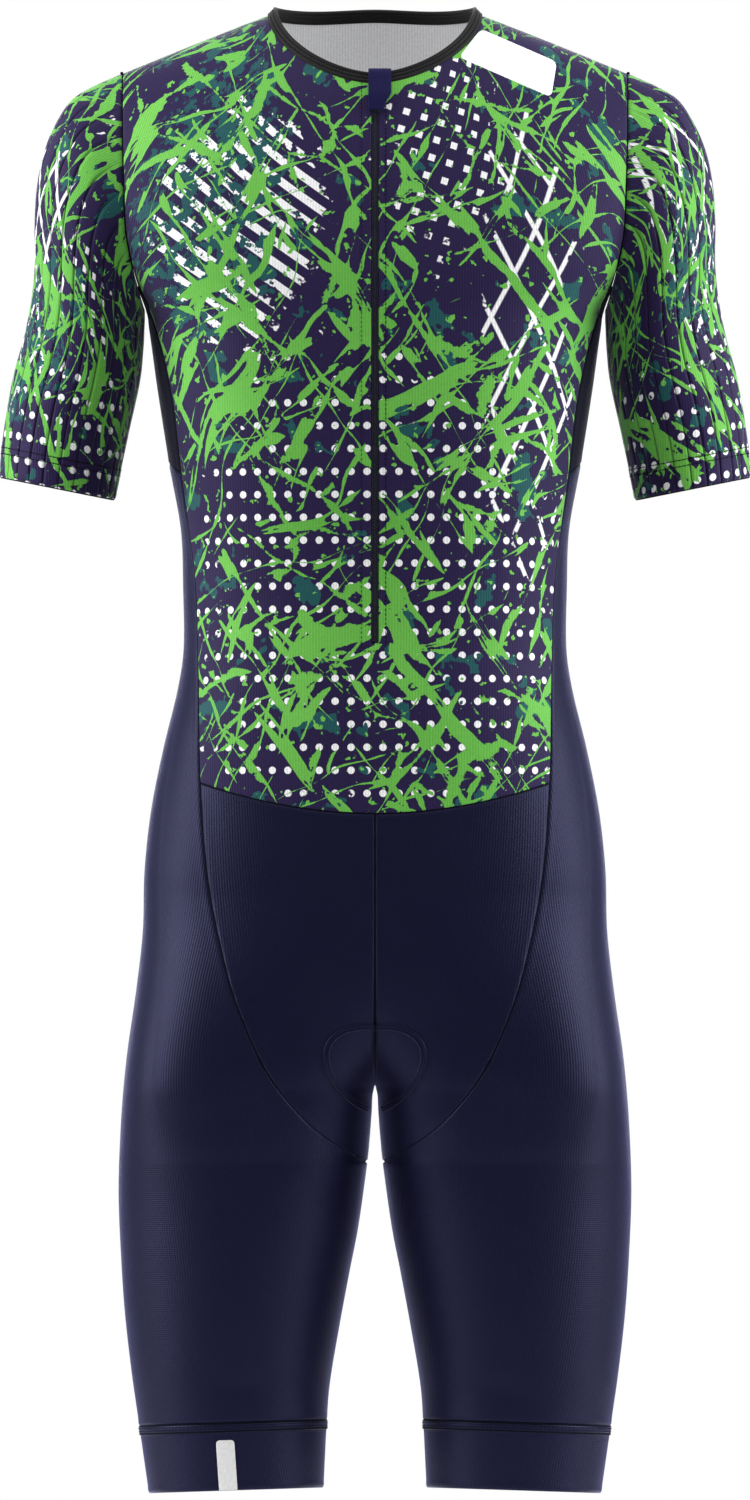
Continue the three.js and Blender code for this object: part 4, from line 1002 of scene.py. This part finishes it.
bandDown = along(bandGrid(), 0)
bandLift = band["lift"] * (1 - smooth(bandDown, band["seam"] - 0.4, band["seam"] + 1.0))
bandGroove = band["grooveDepth"] * np.exp(-(((bandDown - band["groove"]) / 0.55) ** 2))
bandRelief = bandLift - bandGroove
bands, seams, centres = {}, [], []
for word, side in sides.items():
    underarm, points, normal = skinWall(f"underarmPanel.{word}", underarmGrid(), side, [underarmKnit])
    dress(underarm, "underarm", f"underarm_{word}")
    declareCloth(points)
    seams.append((points[0], normal[0]))
    leg, points, normal = skinWall(f"legPanel.{word}", legGrid(), side, [navyKnit])
    dress(leg, "navy", f"leg_{word}")
    declareCloth(points)
    belowTip = points[:, -1, 2] < suit["seamTipLevel"] + 1
    seams += [(points[0], normal[0]), (points[belowTip, -1], normal[belowTip, -1])]
    name = f"legBand.{word}"
    legBand, points, normal = skinWall(name, bandGrid(), side, [navyKnit], "tb", bandRelief, True)
    dress(legBand, "navy", f"band_{word}")
    declareCloth(points)
    bands[word] = points
    seams.append((points[0], normal[0]))
    for name, node, face in (("yoke", "yoke", -1), ("seatPanel", "seat", 1)):
        piece, points, normal = skinWall(f"{name}.{word}", lowerGrid(face), side, [navyKnit])
        dress(piece, "navy", f"{node}_{word}")
        declareCloth(points)
        seams += [(points[:, 0], normal[:, 0]), (points[:, -1], normal[:, -1])]
        if side > 0:
            high = points[:, 0, 2] > suit["crotchLevel"]
            centres.append((points[high, 0], np.array([[0, face, 0.0]]) + 0 * points[high, 0]))
print("underarms, legs, yokes and seat ready")

# Sleeves

sleeve = {
    "ribs": 24, "ribHeight": 1.0, "grooveWidth": 1.35, "perDegree": 1.37, "hemStitches": (17.5, 22.0),
    "length": 250.0, "step": 2.9, "hemLift": 0.25,
}
sleeveCreases = table(
    "side t1 degrees1 t2 degrees2 width depth",
    (1, 2.2, 120, 4.6, 78, 9, 1.6), (1, 3.6, 150, 7.5, 118, 8, 1.3), (1, 8.6, 66, 11.2, 40, 9, 0.9),
    (1, 2.4, 236, 5.4, 280, 10, 1.8), (1, 6.8, 222, 9.5, 262, 9, 1.3),
    (-1, 2.0, 124, 5.2, 84, 9, 1.5), (-1, 4.2, 148, 7.0, 124, 8, 1.2), (-1, 7.8, 72, 10.8, 52, 9, 1.0),
    (-1, 2.6, 240, 5.8, 274, 10, 1.7), (-1, 7.2, 228, 10.2, 256, 9, 1.2),
)


# Sleeve surface: a ring between its upper and under ends at each station, held to the armhole's own
# line by a share that fades along the sleeve. Degrees run from the top over the front to the back.
def sleeveSkin(t, degrees):
    t, degrees = np.broadcast_arrays(np.asarray(t, float), np.asarray(degrees, float))

    def ring(at):
        section = readTable(sleeveSections, at)
        half = np.cos(np.radians(degrees)) / 2
        x = (section["topX"] + section["underX"]) / 2 + half * (section["topX"] - section["underX"])
        z = (section["topZ"] + section["underZ"]) / 2 + half * (section["topZ"] - section["underZ"])
        return np.stack([x, -section["depth"] * np.sin(np.radians(degrees)), z], axis=-1), section

    place, section = ring(t)
    start, _ = ring(0 * t)
    wrapped = np.mod(degrees, 360)
    x, z = armholePoint(wrapped)
    side = np.where(wrapped <= 180, -1, 1)
    root = skin(z, angleAt(z, x) * -side)
    root[..., 0] += 0.3
    return place + (root - start) * section["keep"][..., None]


ribSteps = np.array([0, 0.8, 1.6, 2.6, 4.2, 7.5, 10.8, 12.4, 13.4, 14.2])
ribTurn = 360 / sleeve["ribs"]
ribStarts = np.arange(sleeve["ribs"])[:, None] * ribTurn
ringDegrees = np.concatenate([(ribStarts + ribSteps).ravel(), [360.0]])[None, :]
sleeveT = (stations(sleeve["length"], sleeve["step"]) * sleeveSections["station"][-1])[:, None]
sleeveBase = sleeveSkin(sleeveT, ringDegrees)
sleeveBase[:, -1] = sleeveBase[:, 0]
inRib = np.mod(ringDegrees, ribTurn)
fromGroove = np.minimum(inRib, ribTurn - inRib) * sleeve["perDegree"]
ribShare = np.clip(readTable(sleeveSections, sleeveT)["rib"], 0, 1)
ribLift = sleeve["ribHeight"] * ribShare * (1 - np.exp(-((fromGroove / sleeve["grooveWidth"]) ** 2)))


# Lift of a sleeve's creases at each point: less the troughs of those on its side
def sleeveLift(points, side):
    lift = np.zeros(points.shape[:-1])
    t = np.linspace(0, 1, 13)
    for which, t1, d1, t2, d2, width, depth in zip(*sleeveCreases.values()):
        if which == side:
            path = sleeveSkin(t1 + (t2 - t1) * t, d1 + (d2 - d1) * t) * (mirror if side < 0 else 1)
            lift -= trough(points, path, np.sin(math.pi * t), width, depth)
    return lift


# A sleeve: its skin lifted by the ribs, which fade towards the shoulder, by its creases and its hem
def makeSleeve(word, side):
    points = sleeveBase * (mirror if side < 0 else 1)
    normal = normalsOf(points, points.reshape(-1, 3).mean(0), True)
    down = along(points, 0)
    across = along(points, 1)
    soft = sleeveLift(points, side)
    hem = down[-1] - down
    rim = rolled(np.minimum(down, hem)) + sleeve["hemLift"] * (1 - smooth(hem, 21.5, 23.5))
    outer = points + normal * (ribLift + soft + rim)[..., None]
    inner = points + normal * (soft + np.minimum(rim, 0) - suit["thickness"])[..., None]
    half = across[:, -1:] / 2
    uv = np.stack([np.where(across > half, across - 2 * half, across), hem], axis=-1)
    # the ring's last half turn lies behind, so its columns keep one run of cloth from back to front
    uv[:, -1, 0] = 0
    # how deep each point lies in a rib's groove, where the print is darkened as painted shade
    groove = ribShare * np.exp(-((fromGroove / 0.9) ** 2)) + 0 * hem
    materials = [prints[f"printSleeve{word.title()}"], insideKnit]
    piece = clothWall(f"sleeve.{word}", outer, inner, uv, materials, None, groove)
    dress(piece, "print", f"sleeve_{word}")
    declareCloth(points)
    return outer, normal


sleeves = {word: makeSleeve(word, side) for word, side in sides.items()}
print("sleeves ready")

# Neck binding

binding = {
    "frontHeight": 8.6, "sideHeight": 8.8, "lean": 0.42, "sideLean": 0.95, "edge": 0.3, "besideZip": 0.15,
    "grooves": (0.34, 0.66), "width": 0.012, "meanWidth": 0.0095,
}
bindingRidges = table(
    "station up out",
    (0, 0, 0.0), (1, 0.05, 0.62), (2, 0.2, 1.0), (3, 0.34, 0.5), (4, 0.5, 1.0),
    (5, 0.66, 0.5), (6, 0.84, 1.02), (7, 0.97, 0.62), (8, 1.0, -0.2),
)

# The side that faces the wearer, from the top down to a lip that covers the panel's edge
bindingInside = table(
    "station up out",
    (0, 1.0, -0.6), (1, 0.95, -1.4), (2, 0.84, -1.95), (3, 0.66, -1.5), (4, 0.5, -1.95), (5, 0.34, -1.5),
    (6, 0.16, -1.95), (7, -0.12, -1.95), (8, -0.18, -1.35), (9, 0.0, -1.25),
)


# The neckline from one side of the zip round the back to the other
def neckLine():
    angle = np.radians(np.linspace(86.8, 0, 46))
    x = neck["halfWidth"] * np.cos(angle) ** (2 / neck["frontPower"])
    front = shoulderSkin(x, liftAt(x, frontNeckHeight(x)))
    angle = np.radians(np.linspace(0, 90, 46))[1:]
    x = neck["halfWidth"] * np.cos(angle) ** (2 / neck["backPower"])
    back = shoulderSkin(x, backNeckLift(x))
    left = np.concatenate([front, back])
    return np.concatenate([left, left[-2::-1] * mirror])


# Directions at each point of the neckline: along it, up the binding, which leans in, and out
def neckFrame(line):
    run = unit(np.gradient(line, axis=0))
    inwards = unit(line * np.array([-1.0, -1.0, 0.0]))
    aside = (np.abs(line[:, :1]) / neck["halfWidth"]) ** 4
    up = inwards * (binding["lean"] + (binding["sideLean"] - binding["lean"]) * aside) + np.array([0, 0, 1.0])
    up = squareTo(up, run)
    return run, up, np.cross(run, up)


# A point of the binding: the neckline's, plus a share of the height upwards and an offset outwards
def bindingPoint(line, up, out, share, offset):
    sideways = (np.abs(line[:, :1]) / neck["halfWidth"]) ** 2
    height = binding["frontHeight"] + (binding["sideHeight"] - binding["frontHeight"]) * sideways
    rise = binding["edge"] + share * (height - binding["edge"])
    outwards = np.broadcast_to(offset, rise.shape)
    return line[:, None] + up[:, None] * rise[..., None] + out[:, None] * outwards[..., None]


# The binding: a profile of three soft ridges carried along the neckline, and of three more behind
def makeBinding():
    line = neckLine()
    run, up, out = neckFrame(line)
    ridges = readTable(bindingRidges, np.linspace(0, 8, 41))
    within = readTable(bindingInside, np.linspace(0, 9, 46))
    share = np.concatenate([ridges["up"], within["up"], [0.0]])[None, :]
    offset = np.concatenate([ridges["out"], within["out"], [0.0]])[None, :]
    rings = bindingPoint(line, up, out, share, offset)
    endX = zipper["slotHalf"] + binding["besideZip"]
    rings[0, :, 0], rings[-1, :, 0] = endX, -endX
    rows, columns = rings.shape[:2]
    # each end is closed by a strip of faces between its outer and inner edge
    half = columns // 2
    ends = np.arange(columns - 1), np.arange(columns - 1) + (rows - 1) * columns
    caps = [np.stack([a[: half - 1], a[1:half], a[::-1][1:half], a[::-1][: half - 1]], axis=-1) for a in ends]
    faces = np.concatenate([gridQuads(rows, columns), caps[0], caps[1][:, ::-1]])
    points = rings.reshape(-1, 3)
    keep, welded = weld(points)
    uv = np.stack([along(rings, 1), along(rings, 0)], axis=-1).reshape(-1, 2)
    corners = welded[faces]
    whole = isWhole(corners)
    a, b, d = (points[keep][corners[whole]][:, k] for k in (0, 1, 3))
    volume = (a * np.cross(b, d)).sum()
    turned = slice(None, None, 1 if volume > 0 else -1)
    corners, faces = corners[whole][:, turned], faces[whole][:, turned]
    piece = makeMesh("neckBinding", points[keep], corners, uv[faces.reshape(-1)], [bindingKnit], sharp=60)
    return piece, line, run, up, out


neckBinding, neckPath, neckRun, neckUp, neckOut = makeBinding()
dress(neckBinding, "binding", "neck_binding")
print("neck binding ready")

# Sewing

stitch = {"radius": 0.26, "length": 2.4, "gap": 0.9, "besideZip": (-9.9, 7.7), "underZip": (-12.2, 4.2)}


# Points evenly spaced along a line, with the directions there
def spaced(line, normals, pitch, offset=0.0):
    run = along(line[None], 1)[0]
    at = np.arange(pitch * (0.5 + offset), run[-1], pitch)
    point = np.stack([np.interp(at, run, line[:, k]) for k in range(3)], axis=1)
    normal = np.stack([np.interp(at, run, normals[:, k]) for k in range(3)], axis=1)
    direction = np.stack([np.interp(at, run, np.gradient(line[:, k])) for k in range(3)], axis=1)
    direction = unit(direction)
    return point, direction, squareTo(normal, direction)


# Small rounded bars: rings of six points whose radius follows a half circle at both ends, laid along
# each direction and bowed towards the cloth at the ends
def rodMesh(name, centres, directions, normals, length, radius, bow, material, slot):
    stationsAt = np.array([-0.5, -0.44, -0.3, 0, 0.3, 0.44, 0.5])
    size = np.array([0.15, 0.7, 1, 1, 1, 0.7, 0.15])
    turn = np.arange(6) * math.pi / 3
    lengthwise = np.repeat(stationsAt, 6) * length
    sideways = (size[:, None] * np.cos(turn)).ravel() * radius
    upwards = (size[:, None] * np.sin(turn)).ravel() * radius - bow * (np.repeat(stationsAt, 6) * 2) ** 2
    across = np.cross(directions, normals)
    points = (
        centres[:, None]
        + directions[:, None] * lengthwise[:, None]
        + across[:, None] * sideways[:, None]
        + normals[:, None] * upwards[:, None]
    )
    ring = np.arange(42).reshape(7, 6)
    rolledOn = np.roll(ring, -1, axis=1)
    body = np.stack([ring[:-1], rolledOn[:-1], rolledOn[1:], ring[1:]], axis=-1).reshape(-1, 4)
    ends = np.array([[3, 2, 1, 0], [5, 4, 3, 0], [36, 37, 38, 39], [36, 39, 40, 41]])
    local = np.concatenate([body, ends])[:, ::-1]
    faces = (local[None] + (np.arange(len(centres)) * 42)[:, None, None]).reshape(-1, 4)
    uv = np.zeros((faces.size, 2))
    return dress(makeMesh(name, points.reshape(-1, 3), faces, uv, [material], sharp=80), slot)


# The evenly spaced points of several lines in one row
def joinLines(lines, pitch):
    found = [spaced(line, normals, pitch) for line, normals in lines]
    return [np.concatenate(parts) for parts in zip(*found)]


# A row of stitches along each line
def sew(name, lines, material, slot, pitch=None, lift=0.12, length=None, radius=None):
    pitch = pitch or stitch["length"] + stitch["gap"]
    centres, directions, normals = joinLines(lines, pitch)
    return rodMesh(
        name, centres + normals * lift, directions, normals,
        length or stitch["length"], radius or stitch["radius"], 0.2, material, slot,
    )


# A line across a grid at a distance from its last row, found on each column between two rows
def ringLine(points, normal, fromHem):
    down = along(points, 0)
    hem = down[-1] - down
    low = ((hem > fromHem).sum(axis=0) - 1)[None, :]
    before, after = (np.take_along_axis(hem, low + k, 0) for k in (0, 1))
    t = ((before - fromHem) / (before - after))[0][:, None]
    start, end = (np.take_along_axis(points, (low + k)[..., None], 0)[0] for k in (0, 1))
    return start * (1 - t) + end * t, np.take_along_axis(normal, low[..., None], 0)[0]


# Cord: a thin tube of six sides along each line, its ends closed
def cord(name, lines, radius, lift, material, slot):
    turn = np.arange(6) * math.pi / 3
    points, faces, count = [], [], 0
    for line, normals in lines:
        moved = np.linalg.norm(np.diff(line, axis=0), axis=1) > 0.02
        line, normals = line[np.append(True, moved)], normals[np.append(True, moved)]
        run = unit(np.gradient(line, axis=0))
        up = squareTo(normals, run)
        across = np.cross(run, up)
        middle = line + up * lift
        ring = middle[:, None] + radius * (
            across[:, None] * np.cos(turn)[:, None] + up[:, None] * np.sin(turn)[:, None]
        )
        ids = count + np.arange(len(line) * 6).reshape(-1, 6)
        after = np.roll(ids, -1, axis=1)
        faces.append(np.stack([ids[:-1], ids[1:], after[1:], after[:-1]], axis=-1).reshape(-1, 4))
        first, last = ids[0], ids[-1]
        ends = [first[[0, 1, 2, 3]], first[[0, 3, 4, 5]], last[[3, 2, 1, 0]], last[[5, 4, 3, 0]]]
        faces.append(np.array(ends))
        points.append(ring.reshape(-1, 3))
        count += len(line) * 6
    faces = np.concatenate(faces)
    points = np.concatenate(points)
    a, b, d = (points[faces][:, k] for k in (0, 1, 3))
    if (a * np.cross(b, d)).sum() < 0:
        faces = faces[:, ::-1]
    return dress(makeMesh(name, points, faces, np.zeros((faces.size, 2)), [material], sharp=80), slot)


for points, normal in panels.values():
    seams += [(points[-1], normal[-1]), (points[:, 0], normal[:, 0]), (points[:, -1], normal[:, -1])]
points, normal = panels["front"]
shoulders = [points[0, :, 0] > neck["halfWidth"] + 1, points[0, :, 0] < -neck["halfWidth"] - 1]
seams += [(points[0, part], normal[0, part]) for part in shoulders]
armholes = [(points[0], normal[0]) for points, normal in sleeves.values()]
cord("armholeThreads", armholes, 1.25, -0.95, blackThread, "print")
cord("seamThreads", seams, 0.55, 0.15, blackThread, "navy")
# one more closes the narrow cleft between the halves at the crotch
for points, normal in centres:
    points[:, 0] = 0
cord("crotchThreads", centres, 1.0, -0.9, blackThread, "navy")
# a black cord along each sleeve's hem edge is painted shade on the hem's inner rim
edges = [(points[-1], normal[-1]) for points, normal in sleeves.values()]
cord("sleeveHemShade", edges, 0.7, -0.45, blackThread, "print")

for word, (points, normal) in sleeves.items():
    lines = [ringLine(points, normal, distance) for distance in sleeve["hemStitches"]]
    sew(f"sleeveHemStitches.{word}", lines, blackThread, "print")
for word, points in bands.items():
    normal = normalsOf(points, points.reshape(-1, 3).mean(0), True)
    total = along(points, 0)[-1, 0]
    lines = [ringLine(points, normal, total - distance) for distance in band["stitches"]]
    sew(f"bandStitches.{word}", lines, blackThread, "navy")
    lowerSeam = ringLine(points, normal, total - band["lowerSeam"])
    cord(f"bandThreads.{word}", [lowerSeam], 0.6, 0.1, blackThread, "navy")


# A line on the front at given x and heights, with its normals
def frontLine(x, z):
    x, z = np.broadcast_arrays(np.asarray(x, float), np.asarray(z, float))
    sign = np.where(x < 0, -1.0, 1.0)

    def at(moveX, moveZ):
        px, pz = np.abs(x) + moveX, z + moveZ
        high = shoulderSkin(px, liftAt(px, pz))
        low = skin(pz, angleAt(pz, np.maximum(px, 0.2)))
        low[..., 0] = px
        return np.where((pz > suit["chestLevel"])[..., None], high, low)

    here = at(0, 0)
    normal = unit(np.cross(at(0.5, 0) - here, at(0, 0.5) - here))
    flip = np.stack([sign, np.ones_like(sign), np.ones_like(sign)], axis=-1)
    return here * flip, normal * flip


zipLevels = np.linspace(zipper["top"] - 6, zipper["bottom"] - 4, 160)
zipLines = [frontLine(np.full(160, x), zipLevels) for x in stitch["besideZip"]]
zipLines.append(frontLine(np.linspace(*stitch["underZip"], 12), np.full(12, zipper["bottom"] - 5.8)))
sew("zipStitches", zipLines, blackThread, "print", lift=0.1)

# the two grooves of the neck binding hold a row of stitches each
neckLines = []
for share in binding["grooves"]:
    line = bindingPoint(neckPath, neckUp, neckOut, np.array([[share]]), np.array([[0.55]]))[:, 0]
    neckLines.append((line, neckOut))
sew("bindingStitches", neckLines, blackThread, "binding", pitch=2.6, length=1.9, lift=0.15)
print("sewing ready")

# Zip, garage, pad seam and tab

coil = {"pitch": 1.5, "radius": 0.42, "length": 2.5, "offset": 0.95, "bow": 0.12, "tilt": 0.22}
chainLevels = np.linspace(zipper["top"] - 1, zipper["bottom"] + 1, 200)
chainLine, chainNormal = frontLine(np.full(200, 0.2), chainLevels)
chainLine[:, 0] = 0
chainNormal[:, 0] = 0
parts = []
for offset, side in ((0.0, -1), (0.5, 1)):
    centres, directions, normals = spaced(chainLine, chainNormal, coil["pitch"], offset)
    across = np.cross(directions, normals)
    tilted = unit(across + directions * coil["tilt"] * side)
    parts.append((centres + across * side * coil["offset"] - normals * 0.12, tilted, normals))
centres, directions, normals = (np.concatenate(each) for each in zip(*parts))
zipCoil = rodMesh(
    "zipCoil", centres, directions, normals, coil["length"], coil["radius"], coil["bow"], coilNylon, "zip"
)
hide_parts("zip_chain")

garage = {"left": -4.8, "right": 11.7, "cut": 5.4, "cutEnd": 2, "thickness": 1.2}
garageProfile = table(
    "station z out",
    (0, -48.8, 4.2), (1, -42, 4.4), (2, -36.7, 4.4), (3, -28, 3.4), (4, -21, 2.7), (5, -17.8, 0.8),
    (6, -18, -1.6), (7, -20.5, -3.2), (8, -27, -3.3),
)


# Garage: a strip that climbs over the top of the binding, its lower corner cut off along a soft line
def makeGarage():
    station = np.concatenate([[0.02, 0.08, 0.16], np.linspace(0.25, 7.85, 60), [7.93, 7.98]])
    rows = readTable(garageProfile, station)
    onCut = np.clip(station / garage["cutEnd"], 0, 1)
    right = (garage["cut"] + (garage["right"] - garage["cut"]) * onCut)[:, None]
    across = np.concatenate([[0.004, 0.03, 0.07], np.linspace(0.12, 0.88, 16), [0.93, 0.97, 0.996]])[None, :]
    x = garage["left"] + (right - garage["left"]) * across
    line, normal = frontLine(x, np.repeat(rows["z"][:, None], x.shape[1], axis=1))
    points = line + normal * rows["out"][:, None, None]
    facing = unit(np.cross(np.gradient(points, axis=1), np.gradient(points, axis=0)))
    if (facing[10] * normal[10]).sum() < 0:
        facing = -facing
    run, down = along(points, 1), along(points, 0)
    edge = np.minimum(np.minimum(run, run[:, -1:] - run), np.minimum(down, down[-1] - down))
    lift = -0.35 * np.clip(1 - edge / 0.8, 0, 1) ** 2 - 0.12 * np.exp(-(((edge - 1.9) / 0.4) ** 2))
    outer = points + facing * lift[..., None]
    inner = points - facing * garage["thickness"]
    uv = np.stack([run, -down], axis=-1)
    piece = clothWall("zipGarage", outer, inner, uv, [garageKnit])
    return piece, outer, facing


zipGarage, garagePoints, garageFacing = makeGarage()
dress(zipGarage, "garage", "zip_garage")
declareCloth(garagePoints)

padOutline = table(
    "station x z",
    (0, 0.9, -707.8), (1, 11, -708), (2, 21.3, -710.2), (3, 30, -715.6), (4, 34.4, -723), (5, 35, -731.3),
    (6, 32.9, -739.6), (7, 28.7, -747.9), (8, 21.3, -757), (9, 13, -763.4), (10, 6, -766.8),
)
padSeam = {
    "half": 2.3, "gap": 0.45, "height": 0.95, "thickness": 0.35, "width": 0.01, "meanWidth": 0.0065,
}


# Pad seam: a low rounded strip along the pad's outline with a groove down its middle
def makePadSeam(word, side):
    rows = readTable(padOutline, np.linspace(0, 10, 110))
    x, z = rows["x"], rows["z"]
    runX, runZ = np.gradient(x), np.gradient(z)
    size = np.hypot(runX, runZ)
    across = np.linspace(-1, 1, 15)[None, :]
    px = x[:, None] + across * padSeam["half"] * (runZ / size)[:, None]
    pz = z[:, None] - across * padSeam["half"] * (runX / size)[:, None]
    line, normal = frontLine(np.maximum(px, 0.4), pz)
    hump = np.sqrt(np.clip(1 - np.abs(across) ** 3.2, 0, 1)) - 0.5 * np.exp(-((across / 0.16) ** 2))
    flip = mirror if side < 0 else 1
    outer = (line + normal * (padSeam["gap"] + padSeam["height"] * hump)[..., None]) * flip
    inner = (line + normal * (padSeam["gap"] - padSeam["thickness"])) * flip
    uv = np.stack([along(line, 1), along(line, 0)], axis=-1)
    piece = clothWall(f"padSeam.{word}", outer, inner, uv, [navyKnit])
    dress(piece, "pad_seam", f"pad_seam_{word}")
    lines = [(outer[:, k], normal[:, k] * flip) for k in (4, 10)]
    sew(f"padStitches.{word}", lines, blackThread, "pad_seam", pitch=2.6, length=1.8)


for word, side in sides.items():
    makePadSeam(word, side)

tab = {
    "top": -1005.0, "length": 36.0, "inner": 101.4, "outer": 114.5, "slant": 2.4, "lift": 0.9,
    "corner": 2.6, "thickness": 0.6,
}


# Tab: a narrow strip on the band whose upper corners are quarter circles
def makeTab():
    down = np.concatenate([[0, 0.15, 0.45, 0.9, 1.6, 2.6], np.linspace(3.6, tab["length"], 22)])[:, None]
    z = tab["top"] - down
    missing = tab["corner"] - np.sqrt(np.clip(tab["corner"] ** 2 - (tab["corner"] - down) ** 2, 0, None))
    missing = np.where(down < tab["corner"], missing, 0)
    across = np.linspace(0, 1, 15)[None, :]
    width = tab["outer"] - tab["inner"] - 2 * missing
    x = tab["inner"] + missing - tab["slant"] * down / tab["length"] + across * width
    angle = angleAt(z, x)
    here = skin(z, angle)
    normal = normalsOf(here, (99.8, 0, -1020))
    run, length = along(here, 1), along(here, 0)
    edge = np.minimum(np.minimum(run, run[:, -1:] - run), length)
    lift = tab["lift"] - 0.2 * np.clip(1 - edge / 0.6, 0, 1) ** 2 - 0.1 * np.exp(-(((edge - 1.5) / 0.3) ** 2))
    outer = (here + normal * lift[..., None]) * mirror
    inner = (here + normal * (tab["lift"] - tab["thickness"])) * mirror
    uv = np.stack([run, -length], axis=-1)
    piece = clothWall("hemTab", outer, inner, uv, [tabWeave])
    dress(piece, "tab", "hem_tab")
    declareCloth(outer)


makeTab()

# Nodes whose own shape is right keep it and take a detailed finish
ownShape = {"zip_tape": tapeWeave, "zip_slider": coilNylon, "grip_left": gripRubber, "grip_right": gripRubber}
for node, material in ownShape.items():
    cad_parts[node].data.materials.clear()
    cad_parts[node].data.materials.append(material)
print("zip, garage, pad seam and tab ready")

# Camera, floor and light

view = {"height": 1.08, "middle": -0.5083, "away": 8.0}
scene = bpy.context.scene
camera = bpy.data.objects.new("camera", bpy.data.cameras.new("camera"))
camera.data.type = "ORTHO"
camera.data.ortho_scale = view["height"]
camera.data.clip_end = 50
camera.location = (0, -view["away"], view["middle"])
camera.rotation_euler = (math.pi / 2, 0, 0)
scene.collection.objects.link(camera)
scene.camera = camera

floor = {"radius": 1300.0, "level": -1250.0}
turn = np.linspace(0, 2 * math.pi, 97)[None, :]
radius = np.array([1.0, floor["radius"] * 0.6, floor["radius"]])[:, None]
disc = np.stack([radius * np.cos(turn), radius * np.sin(turn), np.full((3, 97), floor["level"])], axis=-1)
material, tree = newMaterial("paleFloor")
mottle = noise(place(tree, "ShaderNodeTexCoord").outputs["Object"], 3.0)
shade = blendColor(mottle, (0.84, 0.84, 0.84, 1), (0.88, 0.88, 0.88, 1))
shader = place(tree, "ShaderNodeBsdfPrincipled", None, {"Base Color": shade, "Roughness": 0.8})
place(tree, "ShaderNodeOutputMaterial", None, {"Surface": shader.outputs[0]})
floorDisc = clothWall("floorDisc", disc, disc - np.array([0, 0, 4.0]), disc[..., :2], [material])

lights = {
    "left": {"at": (-2.6, -0.45, 0.35), "size": (1.6, 2.4), "power": 132.0},
    "right": {"at": (2.6, -0.45, 0.35), "size": (1.6, 2.4), "power": 132.0},
    "top": {"at": (0, -0.3, 2.4), "size": (2.2, 1.2), "power": 45.0},
    "front": {"at": (0, -4.2, 1.5), "size": (2.6, 2.0), "power": 38.0},
    "back": {"at": (0, 3.6, 0.4), "size": (2.6, 2.6), "power": 60.0},
}
for name, light in lights.items():
    data = bpy.data.lights.new(name, "AREA")
    data.shape, data.size, data.size_y = "RECTANGLE", light["size"][0], light["size"][1]
    data.energy = light["power"]
    lamp = bpy.data.objects.new(name, data)
    lamp.location = light["at"]
    toMiddle = Vector((0, 0, view["middle"])) - lamp.location
    lamp.rotation_euler = toMiddle.to_track_quat("-Z", "Y").to_euler()
    scene.collection.objects.link(lamp)

world = bpy.data.worlds.new("studio")
world.use_nodes = True
tree = world.node_tree
tree.nodes.clear()
# the backdrop is white to the eye, and a softer grey for the light that it gives
seen = place(tree, "ShaderNodeLightPath").outputs["Is Camera Ray"]
color = blendColor(seen, (0.1, 0.1, 0.104, 1), (1, 1, 1, 1))
backdrop = place(tree, "ShaderNodeBackground", None, {"Color": color, "Strength": 1.0})
place(tree, "ShaderNodeOutputWorld", None, {"Surface": backdrop.outputs[0]})
scene.world = world
scene.view_settings.view_transform = "Standard"
print("camera and light ready")
